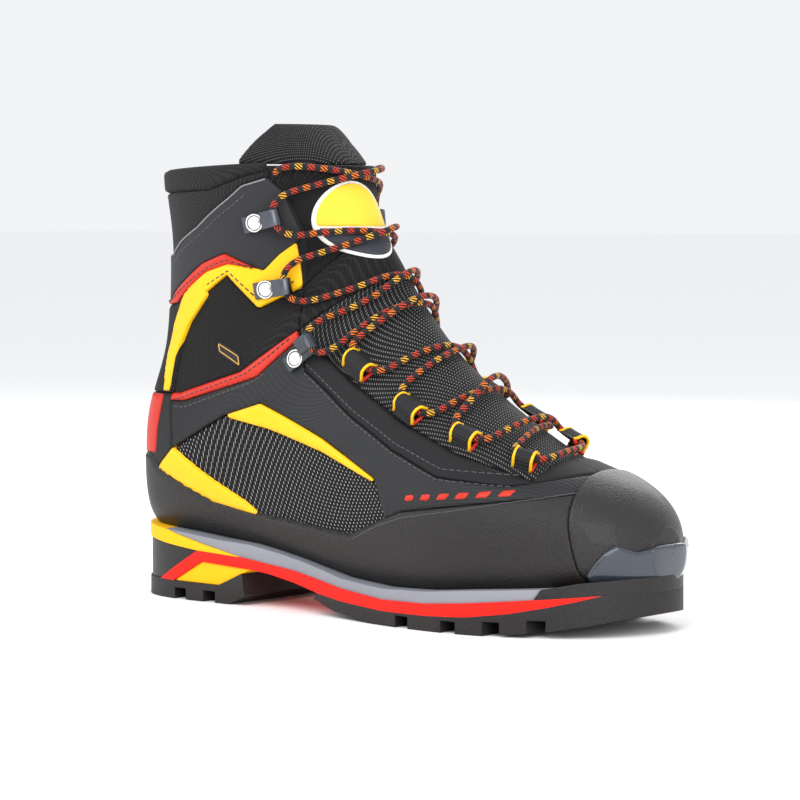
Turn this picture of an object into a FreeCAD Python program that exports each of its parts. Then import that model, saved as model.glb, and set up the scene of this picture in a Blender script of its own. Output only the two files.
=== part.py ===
"""High-cuff mountaineering boot for the right foot, built as its separate pieces.

Building frame: +X from heel to toe, +Y to the inner (medial) side, +Z up, z = 0 on the ground.
Every finished piece is then shifted together, so that the row's origin is the centre of the
boot's footprint on the ground.
"""
import FreeCAD, Part
import math
import os

from FreeCAD import Placement, Rotation, Vector

doc = FreeCAD.newDocument("mountaineering_boot")

# ---------------------------------------------------------------- driving dimensions (mm)
DIMENSIONS = [
    ("lining_thickness", 4.5, "padded waterproof lining"),
    ("skin_gap", 0.1, "glue line between the lining and every outer piece"),
    ("textile_thickness", 1.5, "woven panels"),
    ("quarter_thickness", 3.0, "coated outer panels"),
    ("blade_thickness", 3.4, "welded yellow and red trims"),
    ("rand_thickness", 4.2, "rubber rand and toe cap"),
    ("margin_edge", 24.0, "half width left open between the rands under the foot"),
    ("guard_thickness", 1.8, "clear toe guard over the rubber"),
    ("tongue_inside", 6.0, "padded tongue, depth inside the last line"),
    ("tongue_outside", 1.5, "padded tongue, height outside the last line"),
    ("badge_thickness", 0.8, "oval badge on the tongue"),
    ("badge_width", 34.0, "oval badge on the tongue"),
    ("badge_height", 39.0, "oval badge on the tongue"),
    ("rim_thickness", 2.6, "knitted collar rim"),
    ("reach", 90.0, "half width of the cutting prisms"),
    ("half_gap", 0.1, "half of the gap between left and right panels"),
    ("frame_x", 145.8, "from the building frame to the row origin"),
    ("frame_y", -1.5, "from the building frame to the row origin"),
    ("board_inset", 13.0, "lasting board, inset from the sole edge"),
    ("shank_width", 26.0, "carbon shank"),
    ("shank_thickness", 1.2, "carbon shank"),
    ("footbed_gap", 0.5, "clearance around the footbed"),
    ("lug_depth", 5.6, "tread lugs"),
    ("lug_gap", 9.0, "gap between two lugs"),
    ("lug_reach", 17.0, "length of a lug in from the sole edge"),
    ("hook_width", 8.0, "lace hook"),
    ("hook_plate", 1.2, "sheet thickness of a lace hook"),
    ("hook_bend", 2.8, "inside radius of a hook's curl"),
    ("hook_reach", 11.0, "rivet centre to the middle of the curl"),
    ("rivet_head_r", 3.3, "rivet head radius"),
    ("rivet_head_rise", 1.1, "rivet head height"),
    ("loop_width", 12.0, "webbing loop across the lace"),
    ("loop_thickness", 7.2, "webbing loop"),
    ("loop_bore_r", 2.7, "tunnel for the lace"),
    ("loop_share", 0.5, "share of a straight lace run that a loop covers"),
    ("lace_r", 1.55, "round lace"),
    ("aglet_length", 18.0, "lace end tip"),
]
sheet = doc.addObject("Spreadsheet::Sheet", "Dimensions")
for row, (alias, value, note) in enumerate(DIMENSIONS, start=1):
    sheet.set(f"A{row}", alias)
    sheet.set(f"B{row}", str(value))
    sheet.set(f"C{row}", note)
    sheet.setAlias(f"B{row}", alias)
doc.recompute()


def dim(alias):
    """One driving dimension, in millimetres."""
    return float(getattr(sheet, alias))


# ---------------------------------------------------------------- the last, by cross-sections
# Each section is a flat closed curve. Heel to toe it fans from level (the shaft) to upright
# (the forefoot). Columns: low or rear point (x, z), high or front point (x, z), half width on
# the outer side, half width on the inner side, height share of the widest line, squareness of
# the lower and upper curve, sideways offset of the middle.
SECTIONS = [
    ((290, 29), (290, 44), 8, 7, 0.50, 2.2, 2.0, 11),
    ((287, 27), (287, 51), 18, 16, 0.45, 2.8, 2.0, 10),
    ((281, 26), (281, 59), 28, 25, 0.44, 3.4, 2.0, 9),
    ((267, 23), (267, 68), 38, 33, 0.45, 4.0, 2.1, 7),
    ((245, 20), (245, 76), 46, 41, 0.43, 4.0, 2.1, 4),
    ((218, 18), (218, 91), 50, 46, 0.40, 4.0, 2.0, 1),
    ((185, 16), (185, 116), 48, 44, 0.38, 4.0, 1.8, 0),
    ((150, 18), (170, 130), 44, 41, 0.40, 4.0, 1.8, 0),
    ((112, 25), (157, 145), 40, 38, 0.40, 4.0, 1.9, 0),
    ((72, 30), (147, 159), 37, 37, 0.41, 3.6, 1.9, 0),
    ((32, 33), (139, 171), 36, 36, 0.42, 3.4, 2.0, 0),
    ((4, 38), (133, 180), 35, 35, 0.42, 3.0, 2.0, 0),
    ((-1.5, 63), (130, 186), 35, 35, 0.42, 2.9, 2.0, 0),
    ((0, 88), (127, 192), 36, 36, 0.45, 2.7, 2.0, 0),
    ((9, 116), (124, 199), 37, 37, 0.48, 2.4, 2.0, 0),
    ((12, 150), (122, 205), 38, 38, 0.50, 2.2, 2.0, 0),
    ((11, 182), (121, 211), 39.5, 39.5, 0.50, 2.1, 2.0, 0),
    ((8, 211), (120, 217), 41, 41, 0.50, 2.1, 2.0, 0),
    ((14, 226), (112, 229), 38, 38, 0.50, 2.1, 2.0, 0),
    ((28, 240), (96, 240), 27, 27, 0.50, 2.1, 2.0, 0),
]
TOE_SECTIONS = 5          # the first sections also move forward when the last grows
RING_POINTS = 24
SEAM_ANGLE = -2 * math.pi / 3     # low on the outer side, away from every panel edge
SEAM_OVERLAP = 3          # points repeated past the seam, so that the skin closes smoothly
LAST_TOP = 238.0


def section_points(index, grow):
    """Points around one cross-section of the last, pushed outwards by grow."""
    low, high, outer, inner, waist, lower_power, upper_power, middle = SECTIONS[index]
    forward = grow * (1.0 - index / TOE_SECTIONS) if index < TOE_SECTIONS else 0.0
    height = math.hypot(high[0] - low[0], high[1] - low[1])
    along = ((high[0] - low[0]) / height, (high[1] - low[1]) / height)
    points = []
    for step in range(-SEAM_OVERLAP, RING_POINTS + SEAM_OVERLAP + 1):
        angle = 2 * math.pi * step / RING_POINTS + SEAM_ANGLE
        cosine, sine = math.cos(angle), math.sin(angle)
        power = lower_power if sine < 0 else upper_power
        radius = (abs(cosine) ** power + abs(sine) ** power) ** (-1 / power)
        half_width = (inner if cosine > 0 else outer) + grow
        half_height = (waist if sine < 0 else 1 - waist) * height + grow
        up = waist * height + half_height * radius * sine
        points.append(Vector(low[0] + forward + along[0] * up,
                             middle + half_width * radius * cosine,
                             low[1] + along[1] * up))
    return points


def last_solid(grow):
    """The whole last as one closed solid, pushed outwards by grow."""
    surface = Part.BSplineSurface()
    surface.interpolate([section_points(index, grow) for index in range(len(SECTIONS))])
    knots = surface.getVKnots()
    toe, top = surface.bounds()[:2]
    surface.segment(toe, top, knots[SEAM_OVERLAP], knots[SEAM_OVERLAP + RING_POINTS])
    faces = [surface.toShape()]
    for end in (toe, top):
        faces.append(Part.Face(Part.Wire([surface.uIso(end).toShape()])))
    shell = Part.Shell(faces)
    shell.sewShape()
    solid = Part.Solid(Part.Shell(shell.Faces))
    return solid.common(Part.makeBox(400, 200, LAST_TOP, Vector(-50, -100, 0)))


# ---------------------------------------------------------------- side-view outlines (x, z)
def outline(points):
    """Closed sketch of straight seams in the side view."""
    sketch = doc.addObject("Sketcher::SketchObject", "outline")
    ends = [Vector(x, z, 0) for x, z in points]
    for start, end in zip(ends, ends[1:] + ends[:1]):
        sketch.addGeometry(Part.LineSegment(start, end), False)
    sketch.Placement = Placement(Vector(0, 0, 0), Rotation(Vector(1, 0, 0), 90))
    return sketch


def prism(points, side="both"):
    """A side-view outline drawn out over the outer side, the inner side or both."""
    block = doc.addObject("Part::Extrusion", "prism")
    block.Base = outline(points)
    block.DirMode = "Custom"
    block.Dir = Vector(0, -1, 0)
    block.Solid = True
    if side == "both":
        block.setExpression("LengthFwd", "Dimensions.reach")
        block.setExpression("LengthRev", "Dimensions.reach")
    elif side == "lateral":
        block.setExpression("LengthFwd", "Dimensions.reach")
        block.setExpression("LengthRev", "-Dimensions.half_gap")
    else:
        block.setExpression("LengthFwd", "-Dimensions.half_gap")
        block.setExpression("LengthRev", "Dimensions.reach")
    return block


def common(base, tool, name="common"):
    feature = doc.addObject("Part::Common", name)
    feature.Base = base
    feature.Tool = tool
    return feature


def cut(base, tool, name="cut"):
    feature = doc.addObject("Part::Cut", name)
    feature.Base = base
    feature.Tool = tool
    return feature


pieces = []


def piece(label, feature):
    """Name a finished sub-part. It is exported under this label."""
    feature.Label = label
    pieces.append(feature)
    return feature


# Top of the sole unit, heel to toe: the line that the upper is lasted and glued down to.
SOLE_TOP = [(-20, 37.6), (24, 34.3), (62, 31), (83, 30), (105, 27), (119, 24.7), (148, 19),
            (177, 17), (205, 18), (228, 20), (263, 22.1), (277, 25), (292, 26.5), (310, 26.5)]
above_sole = prism(SOLE_TOP + [(310, 300), (-20, 300)])
lasts = {}


def layer(inside, outside):
    """Reference feature: all between two sizes of the last, open above and cut at the sole."""
    name = f"layer_{inside:+.2f}_{outside:+.2f}"
    found = doc.getObjectsByLabel(name)
    if found:
        return found[0]
    for grow in (inside, outside):
        if grow not in lasts:
            lasts[grow] = last_solid(grow)
    ring = doc.addObject("Part::Feature", "ring")
    ring.Label = "ring" + name
    ring.Shape = lasts[outside].cut(lasts[inside])
    feature = common(ring, above_sole)
    feature.Label = name
    return feature


def panel(label, points, inside, outside, side="both"):
    """A piece of the upper: a side-view outline of one layer of the last."""
    return piece(label, common(layer(inside, outside), prism(points, side)))


gap = dim("skin_gap")
textile = dim("textile_thickness")
quarter = dim("quarter_thickness")
blade = dim("blade_thickness")
rand = dim("rand_thickness")

# Seams that neighbouring pieces share. FOOT_TOP and CUFF_FOOT leave the wedge in which the
# ankle bends: the first is the top of the stiff lower, the second the bottom of the cuff.
FOOT_TOP = [(-20, 101), (35, 101), (77, 114), (110, 135), (150, 163), (172, 178)]
CUFF_FOOT = [(-20, 120), (50, 122), (86, 141), (109, 156), (150, 197)]
THROAT_LOWER = [(110, 135), (112, 131), (130, 121), (148, 110), (178, 94), (210, 81), (248, 69)]
RAND_TOP = [(-20, 70), (12, 70), (18, 64), (33, 58), (58, 49), (90, 44), (115, 42), (136, 40),
            (154, 39), (178, 49), (189, 53), (224, 58), (254, 62), (268, 64)]
TOE_SEAM = [(268, 64), (280, 0)]


def shifted(points, rise):
    """The same seam moved up or down, as the running gap between two bodies needs."""
    return [(x, z + rise) for x, z in points]


# ---------------------------------------------------------------- linings
lining = -dim("lining_thickness")
panel("heel_lining", [(-20, 0), (112, 0), (112, 136.5)] + FOOT_TOP[3::-1], lining, 0)
panel("vamp_lining", [(112, 0), (310, 0), (310, 178)] + FOOT_TOP[:3:-1] + [(112, 136.5)],
      lining, 0)
panel("ankle_lining", shifted(FOOT_TOP, 0.2) + shifted(CUFF_FOOT[::-1], -0.2), lining, 0)
panel("cuff_lining", CUFF_FOOT[:4] + [(109, 180), (101, 201), (101, 203), (74, 203), (74, 214),
      (-20, 209)], lining, 0)

# ---------------------------------------------------------------- outer pieces on the foot
panel("toe_cap", [TOE_SEAM[1], (310, 0), (310, 100), (259, 100), (262, 84), TOE_SEAM[0]],
      gap, rand)
panel("toe_guard", [(278, 0), (310, 0), (310, 41), (292, 42), (285, 37), (278, 27)],
      rand + gap, rand + dim("guard_thickness"))
under_foot = doc.addObject("Part::Box", "under_foot")
under_foot.Length = 227
under_foot.setExpression("Width", "2 * Dimensions.margin_edge")
under_foot.Height = 45
under_foot.Placement = Placement(Vector(28, -dim("margin_edge"), 0), Rotation())
for side in ("lateral", "medial"):
    wrapped = common(layer(gap, rand), prism([(-20, 0), TOE_SEAM[1]] + RAND_TOP[::-1], side))
    piece(f"rand_{side}", cut(wrapped, under_foot))
    panel(f"yellow_lower_blade_{side}",
          [(18, 64), (33, 58), (58, 49), (90, 44), (80, 50), (58, 60), (30, 74)],
          gap, blade, side)
    panel(f"window_textile_{side}",
          [(30, 74), (58, 60), (80, 50), (90, 44), (115, 42), (136, 40), (154, 39), (178, 49),
           (171, 65), (133, 78), (97, 87), (66, 92)], gap, textile, side)
    panel(f"yellow_upper_blade_{side}",
          [(66, 92), (97, 87), (133, 78), (171, 65), (169, 67.5), (133, 84), (91, 99)],
          gap, blade, side)
    panel(f"quarter_{side}",
          [(30, 74), (66, 92), (91, 99), (133, 84), (169, 67.5), (171, 65), (178, 49),
           (189, 53), (224, 58), (254, 62), (268, 64), (265, 72), (240, 67), (207, 70),
           (178, 81), (150, 95), (117, 116), (112, 131), (94, 117), (88, 112), (39, 98),
           (30, 98)], gap, quarter, side)
    panel(f"eyestay_{side}",
          THROAT_LOWER[1:] + [(248, 95), (261, 95), (265, 72), (240, 67), (207, 70), (178, 81),
                              (150, 95), (117, 116)], gap, quarter, side)
    panel(f"ankle_piping_{side}",
          [(30, 98), (39, 98), (88, 112), (94, 117), (112, 131), (110, 135), (77, 114),
           (35, 101), (30, 101)], gap, blade, side)
panel("heel_strip", [(-20, 70), (12, 70), (18, 64), (30, 74), (30, 101), (-20, 101)],
      gap, blade)
panel("vamp_textile", THROAT_LOWER + [(248, 110), (172, 178), (150, 163)], gap, textile)

# ---------------------------------------------------------------- soft ankle zone
for side in ("lateral", "medial"):
    panel(f"ankle_softshell_{side}",
          [(32, 101.2), (35, 101.2), (77, 114.2), (110, 135.2), (109, 155.8), (86, 144.8),
           (70, 160.8), (53, 149.8), (44, 142.8), (32, 106)], gap, textile, side)
panel("achilles_strip", [(-20, 101.2), (32, 101.2), (32, 106), (44, 142.8), (53, 149.8),
                         (42, 152.8), (32, 145.8), (-20, 141.8)], gap, blade)
panel("instep_gusset", [(110, 135.2), (150, 163.2), (172, 178.2), (172, 196.8), (150, 196.8),
                        (109, 155.8)], gap, textile)
panel("membrane_tag", [(61, 129), (75, 122), (76, 115.5), (62, 122.5)],
      textile + gap, textile + 0.8, "lateral")

# ---------------------------------------------------------------- cuff
RED_TOP = [(-20, 147), (22, 147), (37, 156), (54, 166), (69, 171), (87, 164)]
RED_FOOT = [(-20, 142), (32, 146), (42, 153), (57, 162), (71, 166), (87, 164)]
CUFF_TOP = [(101, 201), (94, 208), (81, 204), (73, 198), (62, 191), (52, 184), (38, 177),
            (28, 170), (-20, 170)]
panel("cuff_trim_red", RED_FOOT + RED_TOP[-2::-1], gap, blade)
for side in ("lateral", "medial"):
    panel(f"cuff_trim_yellow_{side}",
          [(42, 153), (53, 150), (70, 161), (86, 145), (109, 156), (106, 177), (98, 171),
           (90, 163), (87, 164), (71, 166), (57, 162)], gap, blade, side)
    panel(f"cuff_panel_{side}",
          RED_TOP + [(90, 163), (98, 171), (106, 177), (108, 182)] + CUFF_TOP,
          gap, quarter, side)
panel("collar_textile", [(-20, 170), (28, 170), (38, 177), (52, 184), (62, 191), (73, 198),
                         (81, 204), (94, 208), (94, 211), (84, 209), (61, 202),
                         (-20, 199)], gap, textile)
panel("collar_rim", [(-20, 199), (61, 202), (84, 209), (94, 211), (94, 215), (-20, 210)],
      gap, dim("rim_thickness"))

# ---------------------------------------------------------------- tongue
tongue_back = -dim("tongue_inside")
panel("tongue", shifted([(109, 156), (150, 197)], 0.2) +
      [(150, 214), (101.3, 214), (101.3, 201), (109.3, 180)], tongue_back, dim("tongue_outside"))
panel("tongue_top", [(76, 214.2), (150, 214.2), (150, 234), (88, 234), (82, 226), (76, 217)],
      tongue_back, -1.0)

# The badge is an upright oval, drawn in the front view (y, z) and laid on the tongue.
badge_sketch = doc.addObject("Sketcher::SketchObject", "badge_outline")
badge_centre = Vector(-4, 187, 0)
badge_sketch.addGeometry(Part.Ellipse(badge_centre + Vector(0, dim("badge_height") / 2, 0),
                                      badge_centre + Vector(dim("badge_width") / 2, 0, 0),
                                      badge_centre), False)
badge_sketch.Placement = Placement(Vector(100, 0, 0), Rotation(Vector(0, 1, 0), Vector(0, 0, 1),
                                                               Vector(1, 0, 0), "XYZ"))
badge_block = doc.addObject("Part::Extrusion", "badge_block")
badge_block.Base = badge_sketch
badge_block.DirMode = "Custom"
badge_block.Dir = Vector(1, 0, 0)
badge_block.Solid = True
badge_block.setExpression("LengthFwd", "Dimensions.reach")
on_tongue = dim("tongue_outside") + gap
piece("tongue_badge", common(layer(on_tongue, on_tongue + dim("badge_thickness")), badge_block))

# ---------------------------------------------------------------- sole unit
# Footprint of the sole edge, from the back of the heel round the outer side (x, y).
SOLE_EDGE = [(-5, 0), (-2, -16), (13, -31), (28, -36), (50, -37.5), (85, -38.5), (115, -41),
             (150, -47), (180, -52.5), (205, -55), (230, -54), (255, -47), (273, -37.5),
             (286, -25), (294, -9), (297, 6), (295, 21), (287, 34), (273, 43), (255, 48),
             (230, 50), (205, 48), (180, 43), (150, 37), (115, 33), (85, 34), (50, 35.5),
             (28, 34.5), (13, 30), (-2, 16)]


def footprint(grow, alias="reach"):
    """A block of the sole's plan shape, grown or shrunk and drawn up through the sole."""
    corners = []
    for index, (x, y) in enumerate(SOLE_EDGE):
        before, after = SOLE_EDGE[index - 1], SOLE_EDGE[(index + 1) % len(SOLE_EDGE)]
        outward = Vector(before[1] - after[1], after[0] - before[0], 0).normalize() * -grow
        corners.append(Vector(x, y, 0) + outward)
    curve = Part.BSplineCurve()
    curve.interpolate(corners, PeriodicFlag=True)
    face = doc.addObject("Part::Feature", "footprint")
    face.Shape = Part.Face(Part.Wire([curve.toShape()]))
    block = doc.addObject("Part::Extrusion", "footprint_block")
    block.Base = face
    block.DirMode = "Custom"
    block.Dir = Vector(0, 0, 1)
    block.Solid = True
    block.setExpression("LengthFwd", f"Dimensions.{alias}")
    return block


full_print = footprint(0)
inner_print = footprint(-0.8)
board_print = footprint(-dim("board_inset"))

LEDGE_FOOT = [(-20, 32), (28, 27), (48, 25), (76, 23.7)]
LEDGE_TIP = [(76, 23.7), (53, 28), (35, 31.8), (24, 34.3)]
GREY_TOP = SOLE_TOP[1:11]
GREY_FOOT = [(76, 23.7), (92, 22), (114, 19.8), (148, 14.4), (177, 12), (205, 12.5), (228, 14.3),
             (260, 17.3)]
RED_FOOT_SOLE = [(285, 19.5), (277, 17), (266, 14.2), (249, 10.7), (228, 8), (205, 7), (177, 6.8),
                 (148, 8.5), (132, 10.5), (114, 14.2), (96, 17.1), (83, 18.1)]
INSERT = [(31, 9), (51, 19.7), (83, 18.1), (78, 15.7), (68.5, 11.5), (62, 8.8)]
TREAD_ARC = [(310, 12.5), (297, 9.8), (280, 5.7), (265, 3), (250, 1.2), (234, 0), (188, 0),
             (165, 0.8), (142, 3.5), (128, 8)]


def sole_layer(label, points, plan):
    return piece(label, common(prism(points), plan))


BOARD_LINE = SOLE_TOP[1:10] + [(252, 21.5)]
recess = common(prism(shifted(BOARD_LINE, 3) + shifted(BOARD_LINE[::-1], -3.6)),
                footprint(-dim("board_inset") + 0.3))
ledge_slab = common(prism(LEDGE_FOOT + LEDGE_TIP[1:] + [(-20, 37.6)]), full_print)
piece("heel_ledge", cut(ledge_slab, recess))
sole_layer("heel_block", [(-20, 8.7), (20, 9.2)] + LEDGE_FOOT[2::-1], inner_print)
sole_layer("heel_insert", INSERT, inner_print)
sole_layer("midsole_red", [(20, 9.2), (48, 25)] + GREY_FOOT + RED_FOOT_SOLE +
           [INSERT[1], INSERT[0]], full_print)
sole_layer("toe_welt", [(260, 17.3), GREY_TOP[-1]] + SOLE_TOP[11:] + [(310, 20), (285, 19.5)],
           full_print)

grey_slab = common(prism(GREY_TOP + GREY_FOOT[::-1] + LEDGE_TIP[1:3]), inner_print)
piece("midsole_grey", cut(grey_slab, recess))
BOARD_SPAN = [(30, 33.8)] + BOARD_LINE[1:-1] + [(246, 21.1)]
piece("lasting_board", common(prism(shifted(BOARD_SPAN, -1.7) + shifted(BOARD_SPAN[::-1], -3.4)),
                              board_print))

def body_plane(body, role):
    return ([f for f in body.Origin.OriginFeatures if f.Role == role][0], [""])


# The carbon shank is a padded side-view strip that follows the board.
shank = doc.addObject("PartDesign::Body", "shank")
shank_sketch = shank.newObject("Sketcher::SketchObject", "shank_side")
shank_sketch.AttachmentSupport = body_plane(shank, "XZ_Plane")
shank_sketch.MapMode = "FlatFace"
SHANK_LINE = [(62, 31), (83, 30), (105, 27), (119, 24.7), (148, 19), (177, 17), (190, 17.5)]
strip = shifted(SHANK_LINE, -0.3) + shifted(SHANK_LINE[::-1], -0.3 - dim("shank_thickness"))
corners = [Vector(x, z, 0) for x, z in strip]
for start, end in zip(corners, corners[1:] + corners[:1]):
    shank_sketch.addGeometry(Part.LineSegment(start, end), False)
shank_pad = shank.newObject("PartDesign::Pad", "shank_pad")
shank_pad.Profile = shank_sketch
shank_pad.Midplane = True
shank_pad.setExpression("Length", "Dimensions.shank_width")
piece("shank", shank)

footbed_solid = doc.addObject("Part::Feature", "footbed_solid")
footbed_solid.Shape = last_solid(lining - dim("footbed_gap"))
piece("footbed", common(footbed_solid, prism(shifted(SOLE_TOP, 9.0) + [(310, 0), (-20, 0)])))


def tread(label, points, gaps):
    """Rubber tread: a side-view slab in the sole's plan shape with open gaps between lugs."""
    slab = common(prism(points), full_print)
    boxes = []
    for x, y, length, width, height in gaps:
        box = doc.addObject("Part::Box", "lug_gap")
        box.Length = length
        box.Width = width
        box.Height = height + 2
        box.Placement = Placement(Vector(x - length / 2, y - width / 2, -2), Rotation())
        boxes.append(box)
    fused = doc.addObject("Part::MultiFuse", "lug_gaps")
    fused.Shapes = boxes
    return piece(label, cut(slab, fused))


def edge_gaps(stations):
    """Gaps cut in from both edges of the tread, by x, depth and half width of the sole there."""
    gaps = []
    reach = dim("lug_reach")
    for x, height, outer, inner in stations:
        gaps.append((x, -outer, dim("lug_gap") * 0.9, 2 * reach, height))
        gaps.append((x, inner, dim("lug_gap") * 0.9, 2 * reach, height))
    return gaps


deep_lug = dim("lug_depth")
front_gaps = edge_gaps([(191, deep_lug, 54, 46), (219, deep_lug, 55, 50),
                        (241, deep_lug + 1, 52, 50), (261, deep_lug + 2.5, 45, 47)])
front_gaps += [(205, -18, 60, 5, 4.5), (205, 14, 60, 5, 4.5), (176, -2, 6, 40, 4.8),
               (205, -2, 7, 27, 4.8), (231, -2, 7, 27, 5), (255, 0, 7, 40, 6)]
tread("outsole_forefoot", TREAD_ARC + [(132, 10.5)] + RED_FOOT_SOLE[7::-1] + [(310, 20)],
      front_gaps)
heel_gaps = edge_gaps([(36, deep_lug, 37, 35), (56, deep_lug, 38, 35.5)])
heel_gaps += [(14, 0, 6, 30, 5), (46, 0, 40, 5, 4)]
tread("outsole_heel", [(-20, 0), (69, 0), (80, 5), (78, 15.7), (68.5, 11.5), (62, 8.8), (31, 9),
                       (20, 9.2), (-20, 8.7)], heel_gaps)


# ---------------------------------------------------------------- places on the surface
def surface_point(x, z, side, grow):
    """Where a level line across the boot meets one size of the last, on the outer or inner side."""
    sign = -1 if side == "lateral" else 1
    line = Part.makeLine(Vector(x, sign * 90, z), Vector(x, sign * 2, z))
    inside = lasts[grow].common(line)
    return max((vertex.Point for vertex in inside.Vertexes), key=lambda point: abs(point.y))


def surface_frame(x, z, toward, side, grow, rise):
    """Placement on the surface: local X points toward a second place, local Z outwards."""
    here = surface_point(x, z, side, grow)
    ahead = surface_point(toward[0], toward[1], side, grow)
    step = 3.0
    right = surface_point(x + step, z, side, grow) - here
    above = surface_point(x, z + step, side, grow) - here
    normal = right.cross(above)
    if normal.y * (-1 if side == "lateral" else 1) < 0:
        normal = -normal
    normal.normalize()
    forward = ahead - here
    forward = forward - normal * forward.dot(normal)
    forward.normalize()
    across = normal.cross(forward)
    turn = Rotation(forward, across, normal, "ZXY")
    return Placement(here + normal * rise, turn)


# ---------------------------------------------------------------- lace hooks and rivets
def hook(place):
    """A bent sheet hook: plate with a rivet hole, curled over at the throat side."""
    body = doc.addObject("PartDesign::Body", "hook")
    plate, bend, reach = dim("hook_plate"), dim("hook_bend"), dim("hook_reach")
    outer, tail, lip = bend + plate, -6.0, 4.5
    sketch = body.newObject("Sketcher::SketchObject", "hook_side")
    sketch.AttachmentSupport = body_plane(body, "XZ_Plane")
    sketch.MapMode = "FlatFace"
    corner = [Vector(tail, 0, 0), Vector(reach, 0, 0), Vector(reach, 2 * outer, 0),
              Vector(reach - lip, 2 * outer, 0), Vector(reach - lip, 2 * outer - plate, 0),
              Vector(reach, 2 * outer - plate, 0), Vector(reach, plate, 0),
              Vector(tail, plate, 0)]
    sketch.addGeometry(Part.LineSegment(corner[0], corner[1]), False)
    sketch.addGeometry(Part.Arc(corner[1], Vector(reach + outer, outer, 0), corner[2]), False)
    sketch.addGeometry(Part.LineSegment(corner[2], corner[3]), False)
    sketch.addGeometry(Part.LineSegment(corner[3], corner[4]), False)
    sketch.addGeometry(Part.LineSegment(corner[4], corner[5]), False)
    sketch.addGeometry(Part.Arc(corner[5], Vector(reach + bend, outer, 0), corner[6]), False)
    sketch.addGeometry(Part.LineSegment(corner[6], corner[7]), False)
    sketch.addGeometry(Part.LineSegment(corner[7], corner[0]), False)
    pad = body.newObject("PartDesign::Pad", "hook_pad")
    pad.Profile = sketch
    pad.Midplane = True
    pad.setExpression("Length", "Dimensions.hook_width")
    hole_sketch = body.newObject("Sketcher::SketchObject", "rivet_hole")
    hole_sketch.AttachmentSupport = body_plane(body, "XY_Plane")
    hole_sketch.MapMode = "FlatFace"
    hole_sketch.addGeometry(Part.Circle(Vector(0, 0, 0), Vector(0, 0, 1), 1.7), False)
    hole = body.newObject("PartDesign::Pocket", "rivet_hole_cut")
    hole.Profile = hole_sketch
    hole.Midplane = True
    hole.Length = 3 * plate
    body.Placement = place
    return body


def rivet(place):
    """Domed rivet: a stub through the hook's plate under a wide head."""
    plate, rise, head = dim("hook_plate"), dim("rivet_head_rise"), dim("rivet_head_r")
    stub = doc.addObject("Part::Cylinder", "rivet_stub")
    stub.setExpression("Height", "Dimensions.hook_plate + Dimensions.rivet_head_rise / 2")
    stub.Radius = 1.6
    stub.Placement = Placement(Vector(0, 0, 0.1), Rotation())
    dome_radius = (head ** 2 + rise ** 2) / (2 * rise)
    base = dome_radius - rise
    dome = doc.addObject("Part::Sphere", "rivet_dome")
    dome.Radius = dome_radius
    dome.Angle1 = math.degrees(math.asin(base / dome_radius))
    dome.Placement = Placement(Vector(0, 0, plate + 0.05 - base), Rotation())
    fused = doc.addObject("Part::MultiFuse", "rivet")
    fused.Shapes = [stub, dome]
    fused.Placement = place
    return fused


def group(label, members):
    """Several separate solids under one label."""
    compound = doc.addObject("Part::Compound", label)
    compound.Links = members
    return piece(label, compound)


# Rivet seat (x, z) of each pair of hooks, and the place that its curl points to.
CUFF_HOOKS = [((88, 186), (100, 189)), ((91, 154), (103, 156))]
LOCKING_HOOKS = [((112, 121), (124, 130))]
HOOK_LIFT = 0.5


def hook_set(label, places):
    """Pairs of hooks on both sides of the throat in one node, and their rivets in another."""
    seats = [surface_frame(*seat, toward, side, blade, HOOK_LIFT)
             for seat, toward in places for side in ("lateral", "medial")]
    group(label, [hook(seat) for seat in seats])
    group(f"{label[:-1]}_rivets", [rivet(seat) for seat in seats])


hook_set("cuff_hooks", CUFF_HOOKS)
hook_set("locking_hooks", LOCKING_HOOKS)

# ---------------------------------------------------------------- lace
# One lace. Each half starts at the bottom bar, runs up through four webbing loops, round the
# locking hook and the two cuff hooks, crossing the tongue between them, and tucks in behind
# the front of the cuff. The points are the lace's centre line, lower end first.
LACE_A = [
    (247, -22, 77.5), (233, -27, 81.5),
    (231, -12, 88), (227, 1, 90.5), (223, 14, 91.5),
    (217, 29, 89.5), (194.5, 32, 98),
    (200, 16, 107.5), (201, -1, 108.5), (199.5, -19, 105.5),
    (192, -37.5, 95.5), (172, -36.5, 106.5),
    (178.5, -20.5, 119), (181.5, -1, 126.5), (179, 18, 128.5),
    (162, 33, 114), (142.5, 33, 125.5),
    (152.5, 21, 139.5), (160, 8, 147.5), (159.5, -8, 148.5), (149, -22.5, 142),
    (128, -39.5, 120), (114.5, -37, 136.5),
    (143.5, -22, 148), (154.5, -8.5, 161.5), (151.5, 8.5, 164.5), (137, 23, 155.5),
    (104, 33.5, 145.5), (101, 36, 166),
    (125, 19.5, 174.5), (139, 7, 180.2), (137.5, -6, 182.3), (123, -20, 182.5),
    (101.5, -37.5, 178.5), (97.5, -40, 198),
    (117.5, -21, 205.5), (130, -7, 209.9), (129.5, 7, 211.8), (117.5, 21.5, 213),
    (106, 33.6, 213.2), (97, 36, 211), (93.5, 27.5, 205.5), (91.5, 22, 194), (90, 19, 178),
    (89, 17, 163)]
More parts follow.
